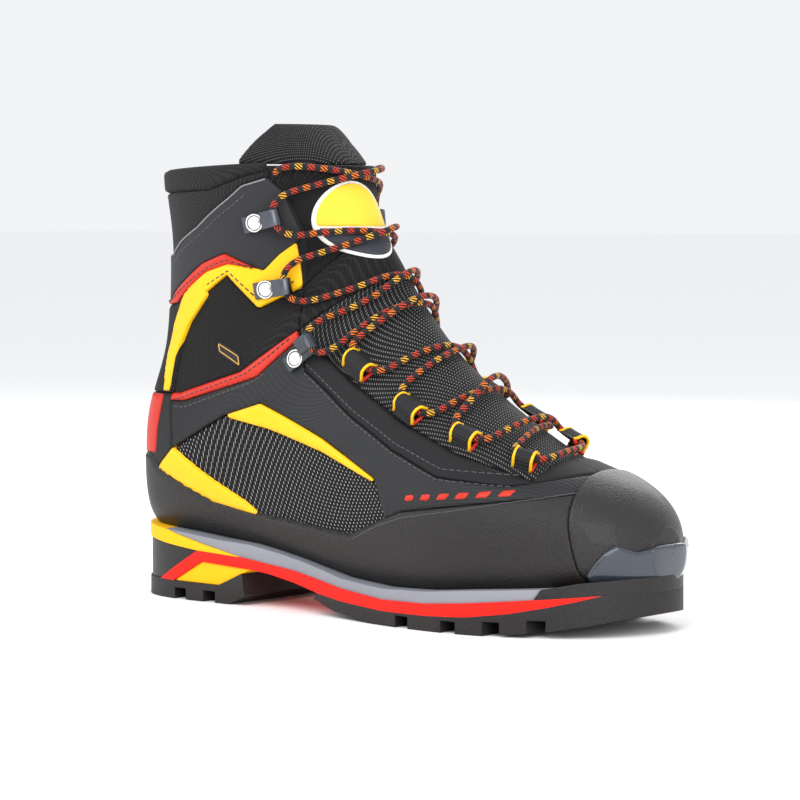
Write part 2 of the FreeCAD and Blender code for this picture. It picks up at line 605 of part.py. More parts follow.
LACE_B = [
    (242.5, 21, 82), (223, 27, 87.5),
    (227, 12.5, 96.5), (225.5, -2, 95), (224, -16, 91.5),
    (221, -32.5, 85.5), (203.5, -35, 92.5),
    (204.5, -18, 105), (204.5, -1, 116), (198.5, 17, 111.5),
    (186.5, 33, 100.5), (167, 33, 110.5),
    (175, 17, 123.5), (178, -1, 129.5), (171.5, -20.5, 124.5),
    (159.5, -35, 114), (139.5, -34.5, 126.5),
    (153.5, -22.5, 140.5), (164, -9, 151.5), (162.5, 8.5, 151.5), (149.5, 23.5, 143),
    (128, 39.5, 120), (114.5, 37, 136.5),
    (143.5, 22, 147.5), (151, 8, 159), (149, -8, 162.5), (136, -23, 154.5),
    (104, -33.5, 145.5), (101, -36, 166),
    (125.5, -19.5, 174.5), (142.2, -7, 182), (140.8, 6.5, 184.6), (124, 20, 183.5),
    (101.5, 37.5, 178.5), (97.5, 40, 198),
    (117, 22, 205), (125, 7, 207), (125, -7, 209.5), (117.5, -22, 212.2),
    (106, -33.5, 213.5), (97, -35.5, 211), (93.5, -27.5, 205.5), (91.5, -22, 194), (90, -19, 178),
    (89, -17, 163)]
BAR_MIDDLE = (246.5, 0, 81.5)
route = [Vector(*point) for point in LACE_A[::-1] + [BAR_MIDDLE] + LACE_B]
LOOP_STARTS = (0, 5, 10, 15)     # first of the two points in each webbing loop


def lace_path(points):
    """Straight runs joined by tangent arcs, each as large as its two runs allow."""
    edges, radii = [], []
    last_end = points[0]
    for before, corner, after in zip(points, points[1:], points[2:]):
        into, out = corner - before, after - corner
        shorter = min(into.Length, out.Length)
        turn = into.getAngle(out)
        into.normalize()
        out.normalize()
        trim = 0.45 * shorter
        radii.append(trim / math.tan(turn / 2))
        start, end = corner - into * trim, corner + out * trim
        centre = corner + (out - into).normalize() * (radii[-1] / math.cos(turn / 2))
        crown = centre + (corner - centre).normalize() * radii[-1]
        edges.append(Part.LineSegment(last_end, start).toShape())
        edges.append(Part.Arc(start, crown, end).toShape())
        last_end = end
    edges.append(Part.LineSegment(last_end, points[-1]).toShape())
    return Part.Wire(edges), radii


def lace_tube(label, points, radius):
    wire, radii = lace_path(points)
    start = (points[1] - points[0]).normalize()
    profile = Part.Wire([Part.makeCircle(radius, points[0], start)])
    tube = doc.addObject("Part::Feature", label)
    tube.Shape = wire.makePipeShell([profile], True, False, 2)
    print(f"lace {wire.Length:.0f} mm, radii {min(radii):.1f} to {max(radii):.0f} mm, volume"
          f" {tube.Shape.Volume:.0f} against {math.pi * radius ** 2 * wire.Length:.0f} mm3")
    return piece(label, tube)


lace_tube("lace", route, dim("lace_r"))


def aglet(tip, before):
    """Hard tip past one end of the lace."""
    body = doc.addObject("Part::Cylinder", "aglet")
    body.setExpression("Radius", "Dimensions.lace_r + 0.1")
    body.setExpression("Height", "Dimensions.aglet_length")
    along = (tip - before).normalize()
    body.Placement = Placement(tip + along * 0.1, Rotation(Vector(0, 0, 1), along))
    return body


group("lace_tips", [aglet(route[0], route[1]), aglet(route[-1], route[-2])])


def webbing_loop(lower, upper, side):
    """A stitched-down webbing tunnel round one straight run of the lace."""
    body = doc.addObject("PartDesign::Body", "webbing_loop")
    half_w, half_t = dim("loop_width") / 2, dim("loop_thickness") / 2
    sketch = body.newObject("Sketcher::SketchObject", "loop_section")
    sketch.AttachmentSupport = body_plane(body, "XY_Plane")
    sketch.MapMode = "FlatFace"
    corner = [Vector(-half_w, -half_t, 0), Vector(half_w, -half_t, 0),
              Vector(half_w - 3, half_t, 0), Vector(-half_w + 3, half_t, 0)]
    for start, end in zip(corner, corner[1:] + corner[:1]):
        sketch.addGeometry(Part.LineSegment(start, end), False)
    sketch.addGeometry(Part.Circle(Vector(0, 0, 0), Vector(0, 0, 1), dim("loop_bore_r")), False)
    pad = body.newObject("PartDesign::Pad", "loop_pad")
    pad.Profile = sketch
    pad.Midplane = True
    pad.Length = (upper - lower).Length * dim("loop_share")
    along = (upper - lower).normalize()
    middle = (upper + lower) * 0.5
    sideways = Vector(0, 1 if side == "medial" else -1, 0.9)
    outward = sideways - along * sideways.dot(along)
    body.Placement = Placement(middle, Rotation(outward.cross(along), outward, along, "ZYX"))
    return body


for side, halves in (("lateral", (LACE_A, LACE_B)), ("medial", (LACE_B, LACE_A))):
    loops = []
    for order, start in enumerate(LOOP_STARTS):
        points = halves[order % 2]
        loops.append(webbing_loop(Vector(*points[start]), Vector(*points[start + 1]), side))
    group(f"lace_loops_{side}", loops)

# The row origin is under the middle of the boot.
for feature in pieces:
    move = Placement(Vector(-dim("frame_x"), -dim("frame_y"), 0), Rotation())
    feature.Placement = move.multiply(feature.Placement)

# ---------------------------------------------------------------- export
doc.recompute()
for feature in doc.Objects:
    bad = [word for word in feature.State if word in ("Invalid", "Error")]
    if bad:
        raise RuntimeError(f"{feature.Label}: {bad}")
os.makedirs("parts", exist_ok=True)
for feature in pieces:
    shape = feature.Shape
    if shape.isNull() or not shape.isValid():
        raise RuntimeError(f"{feature.Label} has no valid shape")
    print(f"{feature.Label:32s} solids {len(shape.Solids)} volume {shape.Volume:9.1f}")
    shape.exportStep(f"parts/{feature.Label}.step")
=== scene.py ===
"""Mountaineering boot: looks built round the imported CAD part.

Row frame, metres: +X to the toe, +Y to the inner side, +Z up. Drawing numbers below are in the
CAD source's building frame in millimetres, moved into the row frame by ROW.
"""
import math

import bpy
import numpy as np
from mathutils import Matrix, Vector
from mathutils.bvhtree import BVHTree


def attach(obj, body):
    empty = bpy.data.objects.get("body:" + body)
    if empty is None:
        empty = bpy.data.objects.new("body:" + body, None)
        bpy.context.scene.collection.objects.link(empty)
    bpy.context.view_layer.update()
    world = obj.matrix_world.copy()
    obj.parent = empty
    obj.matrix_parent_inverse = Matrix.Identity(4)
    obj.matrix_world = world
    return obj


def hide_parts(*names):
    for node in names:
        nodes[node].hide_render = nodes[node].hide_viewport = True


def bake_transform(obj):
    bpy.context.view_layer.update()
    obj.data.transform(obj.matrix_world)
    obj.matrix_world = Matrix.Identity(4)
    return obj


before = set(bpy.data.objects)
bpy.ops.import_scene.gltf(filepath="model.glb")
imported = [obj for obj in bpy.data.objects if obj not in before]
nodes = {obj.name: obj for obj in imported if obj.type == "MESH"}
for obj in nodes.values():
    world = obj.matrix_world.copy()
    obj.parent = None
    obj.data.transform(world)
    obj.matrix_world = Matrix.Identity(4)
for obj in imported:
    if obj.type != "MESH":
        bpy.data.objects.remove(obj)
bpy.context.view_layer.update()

MM = 0.001                           # metres in a millimetre
ROW = np.array([-145.8, 1.5, 0.0])
scene = bpy.context.scene
SIDES = {"lateral": -1, "medial": 1}

# ---------- the last's surface
# The same cross-sections as the CAD source: low and high point (x, z), half widths on the outer
# and inner side, height share of the widest line, squareness below and above, sideways offset.
SECTIONS = [
    ((290, 29), (290, 44), 8, 7, 0.50, 2.2, 2.0, 11),
    ((287, 27), (287, 51), 18, 16, 0.45, 2.8, 2.0, 10),
    ((281, 26), (281, 59), 28, 25, 0.44, 3.4, 2.0, 9),
    ((267, 23), (267, 68), 38, 33, 0.45, 4.0, 2.1, 7),
    ((245, 20), (245, 76), 46, 41, 0.43, 4.0, 2.1, 4),
    ((218, 18), (218, 91), 50, 46, 0.40, 4.0, 2.0, 1),
    ((185, 16), (185, 116), 48, 44, 0.38, 4.0, 1.8, 0),
    ((150, 18), (170, 130), 44, 41, 0.40, 4.0, 1.8, 0),
    ((112, 25), (157, 145), 40, 38, 0.40, 4.0, 1.9, 0),
    ((72, 30), (147, 159), 37, 37, 0.41, 3.6, 1.9, 0),
    ((32, 33), (139, 171), 36, 36, 0.42, 3.4, 2.0, 0),
    ((4, 38), (133, 180), 35, 35, 0.42, 3.0, 2.0, 0),
    ((-1.5, 63), (130, 186), 35, 35, 0.42, 2.9, 2.0, 0),
    ((0, 88), (127, 192), 36, 36, 0.45, 2.7, 2.0, 0),
    ((9, 116), (124, 199), 37, 37, 0.48, 2.4, 2.0, 0),
    ((12, 150), (122, 205), 38, 38, 0.50, 2.2, 2.0, 0),
    ((11, 182), (121, 211), 39.5, 39.5, 0.50, 2.1, 2.0, 0),
    ((8, 211), (120, 217), 41, 41, 0.50, 2.1, 2.0, 0),
    ((14, 226), (112, 229), 38, 38, 0.50, 2.1, 2.0, 0),
    ((28, 240), (96, 240), 27, 27, 0.50, 2.1, 2.0, 0),
]
RING = 24                 # points of one cross-section
ROWS, COLUMNS = 460, 280  # of the fine surface that every panel is cut from
CAP_ROWS = 12             # rows that close the rounded toe end
CAP_BULGE = 1.2           # how far that end stands out
TREE_SHARE = 3            # stitches drop on a surface of each third row and column
TOE_RINGS = 5             # cross-sections that a thicker layer moves forward


def ring(index, grow):
    """Points round one cross-section, pushed out by grow."""
    low, high, outer, inner, waist, lower_power, upper_power, middle = SECTIONS[index]
    forward = grow * (1.0 - index / TOE_RINGS) if index < TOE_RINGS else 0.0
    height = math.hypot(high[0] - low[0], high[1] - low[1])
    along = ((high[0] - low[0]) / height, (high[1] - low[1]) / height)
    points = []
    for step in range(RING):
        angle = 2 * math.pi * step / RING - 2 * math.pi / 3
        cosine, sine = math.cos(angle), math.sin(angle)
        power = lower_power if sine < 0 else upper_power
        radius = (abs(cosine) ** power + abs(sine) ** power) ** (-1 / power)
        half_width = (inner if cosine > 0 else outer) + grow
        half_height = (waist if sine < 0 else 1 - waist) * height + grow
        up = waist * height + half_height * radius * sine
        points.append((low[0] + forward + along[0] * up, middle + half_width * radius * cosine,
                       low[1] + along[1] * up))
    return np.array(points)


def closed_spline(values, count):
    """Smooth closed curve through evenly numbered points."""
    n = len(values)
    system = 4 * np.eye(n) + np.roll(np.eye(n), 1, 0) + np.roll(np.eye(n), -1, 0)
    turn = np.roll(values, -1, 0) - 2 * values + np.roll(values, 1, 0)
    bend = np.linalg.solve(system, 6 * turn)
    place = np.arange(count) / count * n
    i = place.astype(int) % n
    f = (place - np.floor(place))[:, None]
    j = (i + 1) % n
    return (bend[i] * (1 - f) ** 3 / 6 + bend[j] * f ** 3 / 6 + (values[i] - bend[i] / 6) * (1 - f)
            + (values[j] - bend[j] / 6) * f)


def open_spline(knots, values, samples):
    """Natural cubic spline through values, which lie along the first axis."""
    n = len(knots)
    h = np.diff(knots)
    system = np.eye(n)
    right = np.zeros_like(values)
    for i in range(1, n - 1):
        system[i, i - 1:i + 2] = h[i - 1], 2 * (h[i - 1] + h[i]), h[i]
        right[i] = 6 * ((values[i + 1] - values[i]) / h[i] - (values[i] - values[i - 1]) / h[i - 1])
    bend = np.linalg.solve(system, right.reshape(n, -1)).reshape(values.shape)
    i = np.clip(np.searchsorted(knots, samples, side="right") - 1, 0, n - 2)
    shape = (-1,) + (1,) * (values.ndim - 1)
    a = (knots[i + 1] - samples).reshape(shape)
    b = (samples - knots[i]).reshape(shape)
    w = h[i].reshape(shape)
    return ((bend[i] * a ** 3 + bend[i + 1] * b ** 3) / (6 * w)
            + (values[i] / w - bend[i] * w / 6) * a + (values[i + 1] / w - bend[i + 1] * w / 6) * b)


def last_grid(grow):
    """Rows of points over the whole last, from the toe to the collar, pushed out by grow."""
    rings = np.array([closed_spline(ring(index, grow), COLUMNS) for index in range(len(SECTIONS))])
    steps = np.linalg.norm(np.diff(rings, axis=0), axis=2).mean(axis=1)
    knots = np.concatenate([[0], np.cumsum(steps)])
    skin = open_spline(knots, rings, np.linspace(0, knots[-1], ROWS))
    centre = skin[0].mean(axis=0)
    cap = [centre + (skin[0] - centre) * math.sin(t) + np.array([CAP_BULGE * math.cos(t), 0, 0])
           for t in np.linspace(0.02, math.pi / 2, CAP_ROWS, endpoint=False)]
    return np.concatenate([np.array(cap), skin])


BASE = last_grid(0.0)
OUT = last_grid(1.0) - BASE          # one millimetre outwards
# Lengths round and along the surface, for the weaves.
ACROSS = np.concatenate([np.zeros((ROWS + CAP_ROWS, 1)), np.cumsum(np.linalg.norm(
    np.diff(np.concatenate([BASE, BASE[:, :1]], 1), axis=1), axis=2), axis=1)], 1)[:, :-1]
ALONG = np.concatenate([np.zeros((1, COLUMNS)), np.cumsum(
    np.linalg.norm(np.diff(BASE, axis=0), axis=2), axis=0)], 0)
coarse = BASE[::TREE_SHARE, ::TREE_SHARE]
high, wide = coarse.shape[:2]
tree = BVHTree.FromPolygons(
    [Vector(p) for p in coarse.reshape(-1, 3)],
    [(r * wide + c, r * wide + (c + 1) % wide, (r + 1) * wide + (c + 1) % wide, (r + 1) * wide + c)
     for r in range(high - 1) for c in range(wide)])

# The top line of the sole unit. The upper goes down behind its edge by SUNK.
SOLE_TOP = [(-20, 37.6), (24, 34.3), (62, 31), (83, 30), (105, 27), (119, 24.7), (148, 19),
            (177, 17), (205, 18), (228, 20), (263, 22.1), (277, 25), (292, 26.5), (310, 26.5)]
SUNK = 2.0
ABOVE_SOLE = [(x, z - SUNK) for x, z in SOLE_TOP] + [(310, 300), (-20, 300)]


def on_last(x, z, side, grow):
    """Point seen from one side at (x, z), grow millimetres off the last, or None."""
    sign = SIDES[side]
    hit, normal, _, _ = tree.ray_cast(Vector((x, sign * 150, z)), Vector((0, -sign, 0)))
    if hit is None:
        return None
    if normal.y * sign < 0:
        normal = -normal
    return hit + normal * grow


def mesh_object(name, vertices, faces, uv):
    """A smooth mesh in the row frame. Its points and its UV map come in millimetres."""
    mesh = bpy.data.meshes.new(name)
    mesh.from_pydata(((np.asarray(vertices) + ROW) * MM).tolist(), [], faces)
    layer = mesh.uv_layers.new(name="UVMap")
    corner = np.zeros(len(mesh.loops), dtype=np.int32)
    mesh.loops.foreach_get("vertex_index", corner)
    layer.data.foreach_set("uv", (np.asarray(uv) * MM)[corner].astype(np.float32).ravel())
    mesh.shade_smooth()
    mesh.validate()
    thing = bpy.data.objects.new(name, mesh)
    scene.collection.objects.link(thing)
    return thing


def outline_distance(points, a, b):
    """Signed distance of (a, b) to a closed outline, positive inside."""
    best = np.full(a.shape, 1e9)
    inside = np.zeros(a.shape, bool)
    for (x0, y0), (x1, y1) in zip(points, points[1:] + points[:1]):
        dx, dy = x1 - x0, y1 - y0
        t = np.clip(((a - x0) * dx + (b - y0) * dy) / (dx * dx + dy * dy), 0, 1)
        best = np.minimum(best, np.hypot(a - x0 - t * dx, b - y0 - t * dy))
        crosses = (y0 > b) != (y1 > b)
        inside ^= crosses & (a < x0 + (b - y0) * dx / (dy if dy else 1e-9))
    return np.where(inside, best, -best)


SIDE_GAP = 0.1            # a one-sided panel stays this far from the middle plane
FRONT_X = 95              # a panel drawn in the front view lies ahead of this


def patch(name, points, layer, edge, side="both", closed=False, front=False, relief=None,
          warp=None):
    """A panel of the upper: the part of the last inside an outline, with rounded edges.

    The outline is in the side view (x, z), or in the front view (y, z). The layer says how far
    its face and its underside lie from the last. Only a closed panel has that underside."""
    outside, inside = layer
    face = BASE + OUT * outside
    a, b = (face[..., 1], face[..., 2]) if front else (face[..., 0], face[..., 2])
    panel_depth = outline_distance(points, a, b)
    distance = np.minimum(panel_depth, outline_distance(ABOVE_SOLE, face[..., 0], face[..., 2]))
    if side != "both":
        distance = np.minimum(distance, face[..., 1] * SIDES[side] - SIDE_GAP)
    if front:
        distance = np.minimum(distance, face[..., 0] - FRONT_X)
    keep = distance > 0
    quads = np.stack([keep[:-1], keep[1:]], 0).astype(int)
    count = quads[0] + quads[1] + np.roll(quads[0], -1, 1) + np.roll(quads[1], -1, 1)
    vertices, uvs, depth, index, faces, rim = [], [], [], {}, [], []

    def corner(r, c):
        """Number of a surface point inside the outline."""
        key = (r, c)
        if key not in index:
            index[key] = len(vertices)
            vertices.append((BASE[r, c], OUT[r, c]))
            uvs.append((ACROSS[r, c], ALONG[r, c]))
            depth.append(panel_depth[r, c])
        return index[key]

    def crossing(one, two):
        """Number of the place where the outline passes between two surface points."""
        key = (min(one, two), max(one, two))
        if key not in index:
            index[key] = len(vertices)
            t = distance[one] / (distance[one] - distance[two])
            vertices.append((BASE[one] * (1 - t) + BASE[two] * t,
                             OUT[one] * (1 - t) + OUT[two] * t))
            wrap = abs(one[1] - two[1]) > 1
            uvs.append((ACROSS[one] * (1 - t) + (ACROSS[one] if wrap else ACROSS[two]) * t,
                        ALONG[one] * (1 - t) + ALONG[two] * t))
            depth.append(max(panel_depth[one] * (1 - t) + panel_depth[two] * t, 0.0))
        return index[key]

    for r, c in zip(*np.nonzero(count)):
        d = (c + 1) % COLUMNS
        cell = [(r, c), (r, d), (r + 1, d), (r + 1, c)]
        if count[r, c] == 4:
            faces.append([corner(*q) for q in cell])
            continue
        loop, cuts = [], []
        for one, two in zip(cell, cell[1:] + cell[:1]):
            if distance[one] > 0:
                loop.append(corner(*one))
            if (distance[one] > 0) != (distance[two] > 0):
                cut = crossing(one, two)
                loop.append(cut)
                cuts.append((cut, distance[one] > 0))
        if len(loop) >= 3:
            faces.append(loop)
        if len(cuts) == 2:
            leaving = cuts[0][0] if cuts[0][1] else cuts[1][0]
            entering = cuts[1][0] if cuts[0][1] else cuts[0][0]
            rim.append((leaving, entering))
    if not faces:
        raise ValueError(f"{name}: nothing of the last is inside its outline")
    base = np.array([v[0] for v in vertices])
    out = np.array([v[1] for v in vertices])
    depth = np.array(depth)
    near = np.clip(edge - depth, 0, edge)
    drop = edge - np.sqrt(np.maximum(edge ** 2 - near ** 2, 0))
    level = outside - drop
    if relief is not None:
        level = level + relief(base, depth)
    top = base + out * level[:, None]
    low = base + out * inside
    n = len(top)
    used = sorted({v for pair in rim for v in pair})
    if closed:
        faces += [[v + n for v in reversed(f)] for f in faces]
        faces += [[last, first, first + n, last + n] for first, last in rim]
        spots, uv = np.concatenate([top, low]), uvs + uvs
    else:
        below = {v: n + i for i, v in enumerate(used)}
        faces += [[last, first, below[first], below[last]] for first, last in rim]
        spots = np.concatenate([top, low[used]])
        uv = uvs + [uvs[v] for v in used]
    if warp is not None:
        spots = warp(spots)
    return mesh_object(name, spots, faces, uv)


# ---------- materials
def linear(red, green, blue):
    """Linear colour from 0-255 display values."""
    values = [v / 255 for v in (red, green, blue)]
    return [v / 12.92 if v <= 0.04045 else ((v + 0.055) / 1.055) ** 2.4 for v in values] + [1]


class Shader:
    """A procedural material built node by node."""

    def __init__(self, name, colour, rough, metallic=0.0, coat=0.0, sheen=0.0, shine=0.5):
        self.material = bpy.data.materials.new(name)
        self.material.use_nodes = True
        self.tree = self.material.node_tree
        self.shader = self.tree.nodes["Principled BSDF"]
        self.colour = linear(*colour)
        for socket, value in (("Base Color", self.colour), ("Roughness", rough),
                              ("Metallic", metallic), ("Coat Weight", coat),
                              ("Sheen Weight", sheen), ("Sheen Roughness", 0.5),
                              ("Specular IOR Level", shine)):
            self.shader.inputs[socket].default_value = value
        self.places = self.tree.nodes.new("ShaderNodeTexCoord")
        self.normal = None

    def node(self, kind, **settings):
        """A new shader node with the given properties."""
        made = self.tree.nodes.new(kind)
        for key, value in settings.items():
            setattr(made, key, value)
        return made

    def join(self, source, target):
        """Links one socket to another."""
        self.tree.links.new(source, target)

    def coordinates(self, space, scale, turn=0.0):
        """Texture coordinates in millimetres over scale, turned by degrees."""
        mapping = self.node("ShaderNodeMapping")
        factor = 1000 / scale
        mapping.inputs["Scale"].default_value = (factor, factor, factor)
        mapping.inputs["Rotation"].default_value = (0, 0, math.radians(turn))
        self.join(self.places.outputs[space], mapping.inputs["Vector"])
        return mapping.outputs[0]

    def axes(self, space, scale, turn=0.0):
        """The same coordinates one by one: x, y, z."""
        split = self.node("ShaderNodeSeparateXYZ")
        self.join(self.coordinates(space, scale, turn), split.inputs[0])
        return split.outputs

    def math(self, operation, *values):
        """The result of an operation on numbers and sockets."""
        made = self.node("ShaderNodeMath", operation=operation)
        for socket, value in zip(made.inputs, values):
            if isinstance(value, (int, float)):
                socket.default_value = value
            else:
                self.join(value, socket)
        return made.outputs[0]

    def noise(self, space, scale, detail=3):
        """Soft noise of a scale in mm, about 0 to 1."""
        made = self.node("ShaderNodeTexNoise")
        made.inputs["Scale"].default_value = 1.0
        made.inputs["Detail"].default_value = detail
        self.join(self.coordinates(space, scale), made.inputs["Vector"])
        return made.outputs["Fac"]

    def ribs(self, space, pitch, turn):
        """Ribs of one pitch in mm, 0 to 1."""
        along = self.axes(space, pitch, turn)[0]
        wave = self.math("SINE", self.math("MULTIPLY", along, 2 * math.pi))
        return self.math("MULTIPLY_ADD", wave, 0.5, 0.5)

    def bump(self, height, depth):
        """Relief of a depth in millimetres."""
        made = self.node("ShaderNodeBump")
        made.inputs["Strength"].default_value = 1.0
        made.inputs["Distance"].default_value = depth * MM
        self.join(height, made.inputs["Height"])
        if self.normal:
            self.join(self.normal, made.inputs["Normal"])
        self.normal = made.outputs[0]
        self.join(self.normal, self.shader.inputs["Normal"])

    def tint(self, amount, other, share=None):
        """Mixes the base colour to another one by a share of a 0-1 amount."""
        if share is not None:
            amount = self.math("MULTIPLY", amount, share)
        made = self.node("ShaderNodeMix", data_type="RGBA")
        self.join(amount, made.inputs[0])
        source = self.shader.inputs["Base Color"].links
        if source:
            self.join(source[0].from_socket, made.inputs[6])
        else:
            made.inputs[6].default_value = self.colour
        made.inputs[7].default_value = linear(*other)
        self.join(made.outputs[2], self.shader.inputs["Base Color"])

    def rough(self, amount, low, high):
        """Lets a 0-1 amount set the roughness between two values."""
        made = self.node("ShaderNodeMapRange")
        made.inputs["To Min"].default_value = low
        made.inputs["To Max"].default_value = high
        self.join(amount, made.inputs["Value"])
        self.join(made.outputs[0], self.shader.inputs["Roughness"])

    def dots(self, pitch_x, pitch_y, radius, turn):
        """Round dots in brick order, 1 inside a dot. Sizes in mm."""
        across, down, _ = self.axes("UV", 1.0, turn)
        down = self.math("DIVIDE", down, pitch_y)
        shift = self.math("MULTIPLY", self.math("FLOOR", down), 0.5)
        across = self.math("ADD", self.math("DIVIDE", across, pitch_x), shift)
        x, y = (self.math("MULTIPLY", self.math("SUBTRACT", self.math("FRACT", value), 0.5), pitch)
                for value, pitch in ((across, pitch_x), (down, pitch_y)))
        away = self.math("ADD", self.math("MULTIPLY", x, x), self.math("MULTIPLY", y, y))
        return self.math("LESS_THAN", self.math("SQRT", away), radius)


def toned(colour, rise):
    """A colour with each value moved by rise, within 0-255."""
    return [min(255, max(0, v + rise)) for v in colour]


def rubber(name, colour, rough, grain=0.9, depth=0.12, coat=0.0, painted_glint=0.22):
    """Moulded rubber or plastic: grain in mm, and pale specks on the grain's raised tops that are
    painted glints.
    """
    made = Shader(name, colour, rough, coat=coat, shine=0.35)
    pits = made.noise("Object", grain, 4)
    made.bump(pits, depth)
    # Painted highlight: the raised tops of the grain are tinted lighter as painted glints of light.
    made.tint(made.math("GREATER_THAN", pits, 0.56), toned(colour, 26), painted_glint)
    wear = made.noise("Object", 18, 4)
    made.rough(wear, rough - 0.08, rough + 0.1)
    made.tint(wear, toned(colour, 12), 0.3)
    return made.material


def ribbed(name, colour, pitch, turn, depth, rough=0.7, second=None, sheen=0.15, space="UV"):
    """Cloth or laminate with ribs of one pitch and direction, their tops in a second colour."""
    made = Shader(name, colour, rough, sheen=sheen, shine=0.3)
    lines = made.ribs(space, pitch, turn)
    made.bump(lines, depth)
    made.bump(made.noise(space, 0.35, 2), 0.05)
    made.tint(lines, second or toned(colour, 18), 0.6)
    made.tint(made.noise("Object", 25), toned(colour, -12), 0.3)
    return made.material


def weave(name, colour, pitch, depth, rough, sheen, dot=None):
    """Woven or knitted cloth. A dot is (colour, pitch across, pitch down, radius, turn)."""
    made = Shader(name, colour, rough, sheen=sheen, shine=0.2)
    across = made.ribs("UV", pitch, 45)
    along = made.ribs("UV", pitch, 135)
    made.bump(made.math("MAXIMUM", across, along), depth)
    made.tint(across, toned(colour, 20), 0.35)
    if dot:
        dot_colour, *sizes = dot
        made.tint(made.dots(*sizes), dot_colour)
    return made.material


def film(name, colour):
    """Smooth coated trim."""
    made = Shader(name, colour, 0.42, coat=0.05, shine=0.3)
    made.bump(made.noise("Object", 0.8), 0.05)
    shade = made.noise("Object", 12)
    made.tint(shade, [int(v * 0.85) for v in colour], 0.25)
    made.rough(shade, 0.36, 0.54)
    return made.material


def metal(name, colour, rough):
    """Plated metal with worn spots."""
    made = Shader(name, colour, rough, metallic=1.0)
    made.bump(made.noise("Object", 0.6), 0.02)
    made.rough(made.noise("Object", 3, 4), rough - 0.08, rough + 0.12)
    return made.material


def thread(name, colour):
    """Sewing thread and flat embroidery."""
    made = Shader(name, colour, 0.65, sheen=0.2)
    made.bump(made.noise("Object", 0.3, 2), 0.05)
    return made.material


def foam(name, colour):
    """Matt moulded foam, a little darker in places."""
    made = Shader(name, colour, 0.62, shine=0.25)
    made.bump(made.noise("Object", 1.1, 4), 0.07)
    made.tint(made.noise("Object", 20, 4), [int(v * 0.86) for v in colour], 0.4)
    return made.material


RAND = rubber("rand_rubber", (26, 23, 22), 0.42, 0.9, 0.55)
TOE = rubber("toe_rubber", (28, 25, 24), 0.38, 0.9, 0.5, coat=0.08)
TREAD = rubber("tread_rubber", (28, 25, 25), 0.55, 1.4, 0.15)
GUARD = rubber("guard_film", (44, 50, 60), 0.18, 4.0, 0.04, coat=0.7, painted_glint=0)
PLATE = rubber("hook_plate", (48, 54, 62), 0.32, 1.0, 0.04, coat=0.3, painted_glint=0)
YELLOW = film("yellow_film", (250, 190, 8))
RED = film("red_film", (196, 40, 20))
RED_FOAM = foam("red_foam", (242, 26, 10))
YELLOW_FOAM = foam("yellow_foam", (255, 190, 0))
GREY_FOAM = foam("grey_foam", (140, 142, 150))
BOARD = foam("board", (120, 96, 70))
CARBON = ribbed("carbon", (28, 28, 30), 2.0, 45, 0.05, 0.35, space="Object")
QUARTER = ribbed("coated_ribs", (27, 28, 30), 0.9, 52, 0.10, 0.55, (40, 41, 44), 0.0)
CUFF = ribbed("cuff_ribs", (38, 38, 41), 0.9, 55, 0.08, 0.7, (54, 54, 58), 0.03)
STAY = weave("stay_twill", (24, 24, 26), 0.6, 0.07, 0.65, 0.0)
WINDOW = weave("window", (17, 17, 18), 0.6, 0.10, 0.85, 0.0,
               dot=((150, 150, 150), 2.5, 1.5, 0.38, 32))
SOFT = weave("softshell", (15, 14, 15), 1.3, 0.3, 0.85, 0.04,
             dot=((52, 50, 50), 1.5, 1.2, 0.24, 25))
VAMP = weave("vamp_cloth", (18, 18, 19), 0.9, 0.14, 0.8, 0.03,
             dot=((132, 132, 132), 1.9, 1.5, 0.3, 8))
TWILL = weave("collar_twill", (22, 22, 24), 1.0, 0.14, 0.85, 0.05,
              dot=((70, 68, 70), 1.7, 1.4, 0.24, 40))
KNIT = weave("knit", (20, 20, 21), 1.3, 0.3, 0.9, 0.05,
             dot=((66, 66, 68), 1.9, 1.6, 0.3, 20))
KNIT_DOTS = weave("tongue_knit", (17, 17, 18), 1.2, 0.2, 0.9, 0.03,
                  dot=((112, 112, 114), 2.3, 1.9, 0.34, 0))
MESH = weave("lining_mesh", (30, 30, 33), 1.4, 0.3, 0.95, 0.1)
FELT = weave("footbed_felt", (70, 72, 76), 0.8, 0.15, 0.95, 0.5)
TAG = weave("tag", (38, 34, 34), 0.5, 0.05, 0.7, 0.1)
GOLD = thread("gold_thread", (205, 165, 70))
WEBBING = ribbed("webbing", (26, 26, 28), 1.3, 0, 0.18, 0.7, sheen=0.0)
DARK_METAL = metal("gunmetal", (92, 95, 102), 0.3)
BRIGHT_METAL = metal("rivet_metal", (236, 236, 232), 0.38)
STITCH = thread("dark_thread", (58, 57, 60))
DARK_STITCH = thread("darker_thread", (24, 20, 20))
PALE_STITCH = thread("pale_thread", (120, 120, 122))
WARM_STITCH = thread("warm_thread", (216, 110, 60))
WHITE = thread("badge_white", (232, 230, 224))
BADGE_YELLOW = thread("badge_yellow", (240, 196, 40))
BADGE_DARK = thread("badge_dark", (34, 38, 48))
TIP = rubber("tip", (150, 140, 120), 0.25, coat=0.5, painted_glint=0)


def finish_piece(thing, material, body=None, cad=(), bend=None):
    """Material, motion and the CAD nodes that a piece stands for."""
    thing.data.materials.clear()
    thing.data.materials.append(material)
    if cad:
        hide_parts(*cad)
    if bend:
        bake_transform(thing)
    elif body:
        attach(thing, body)


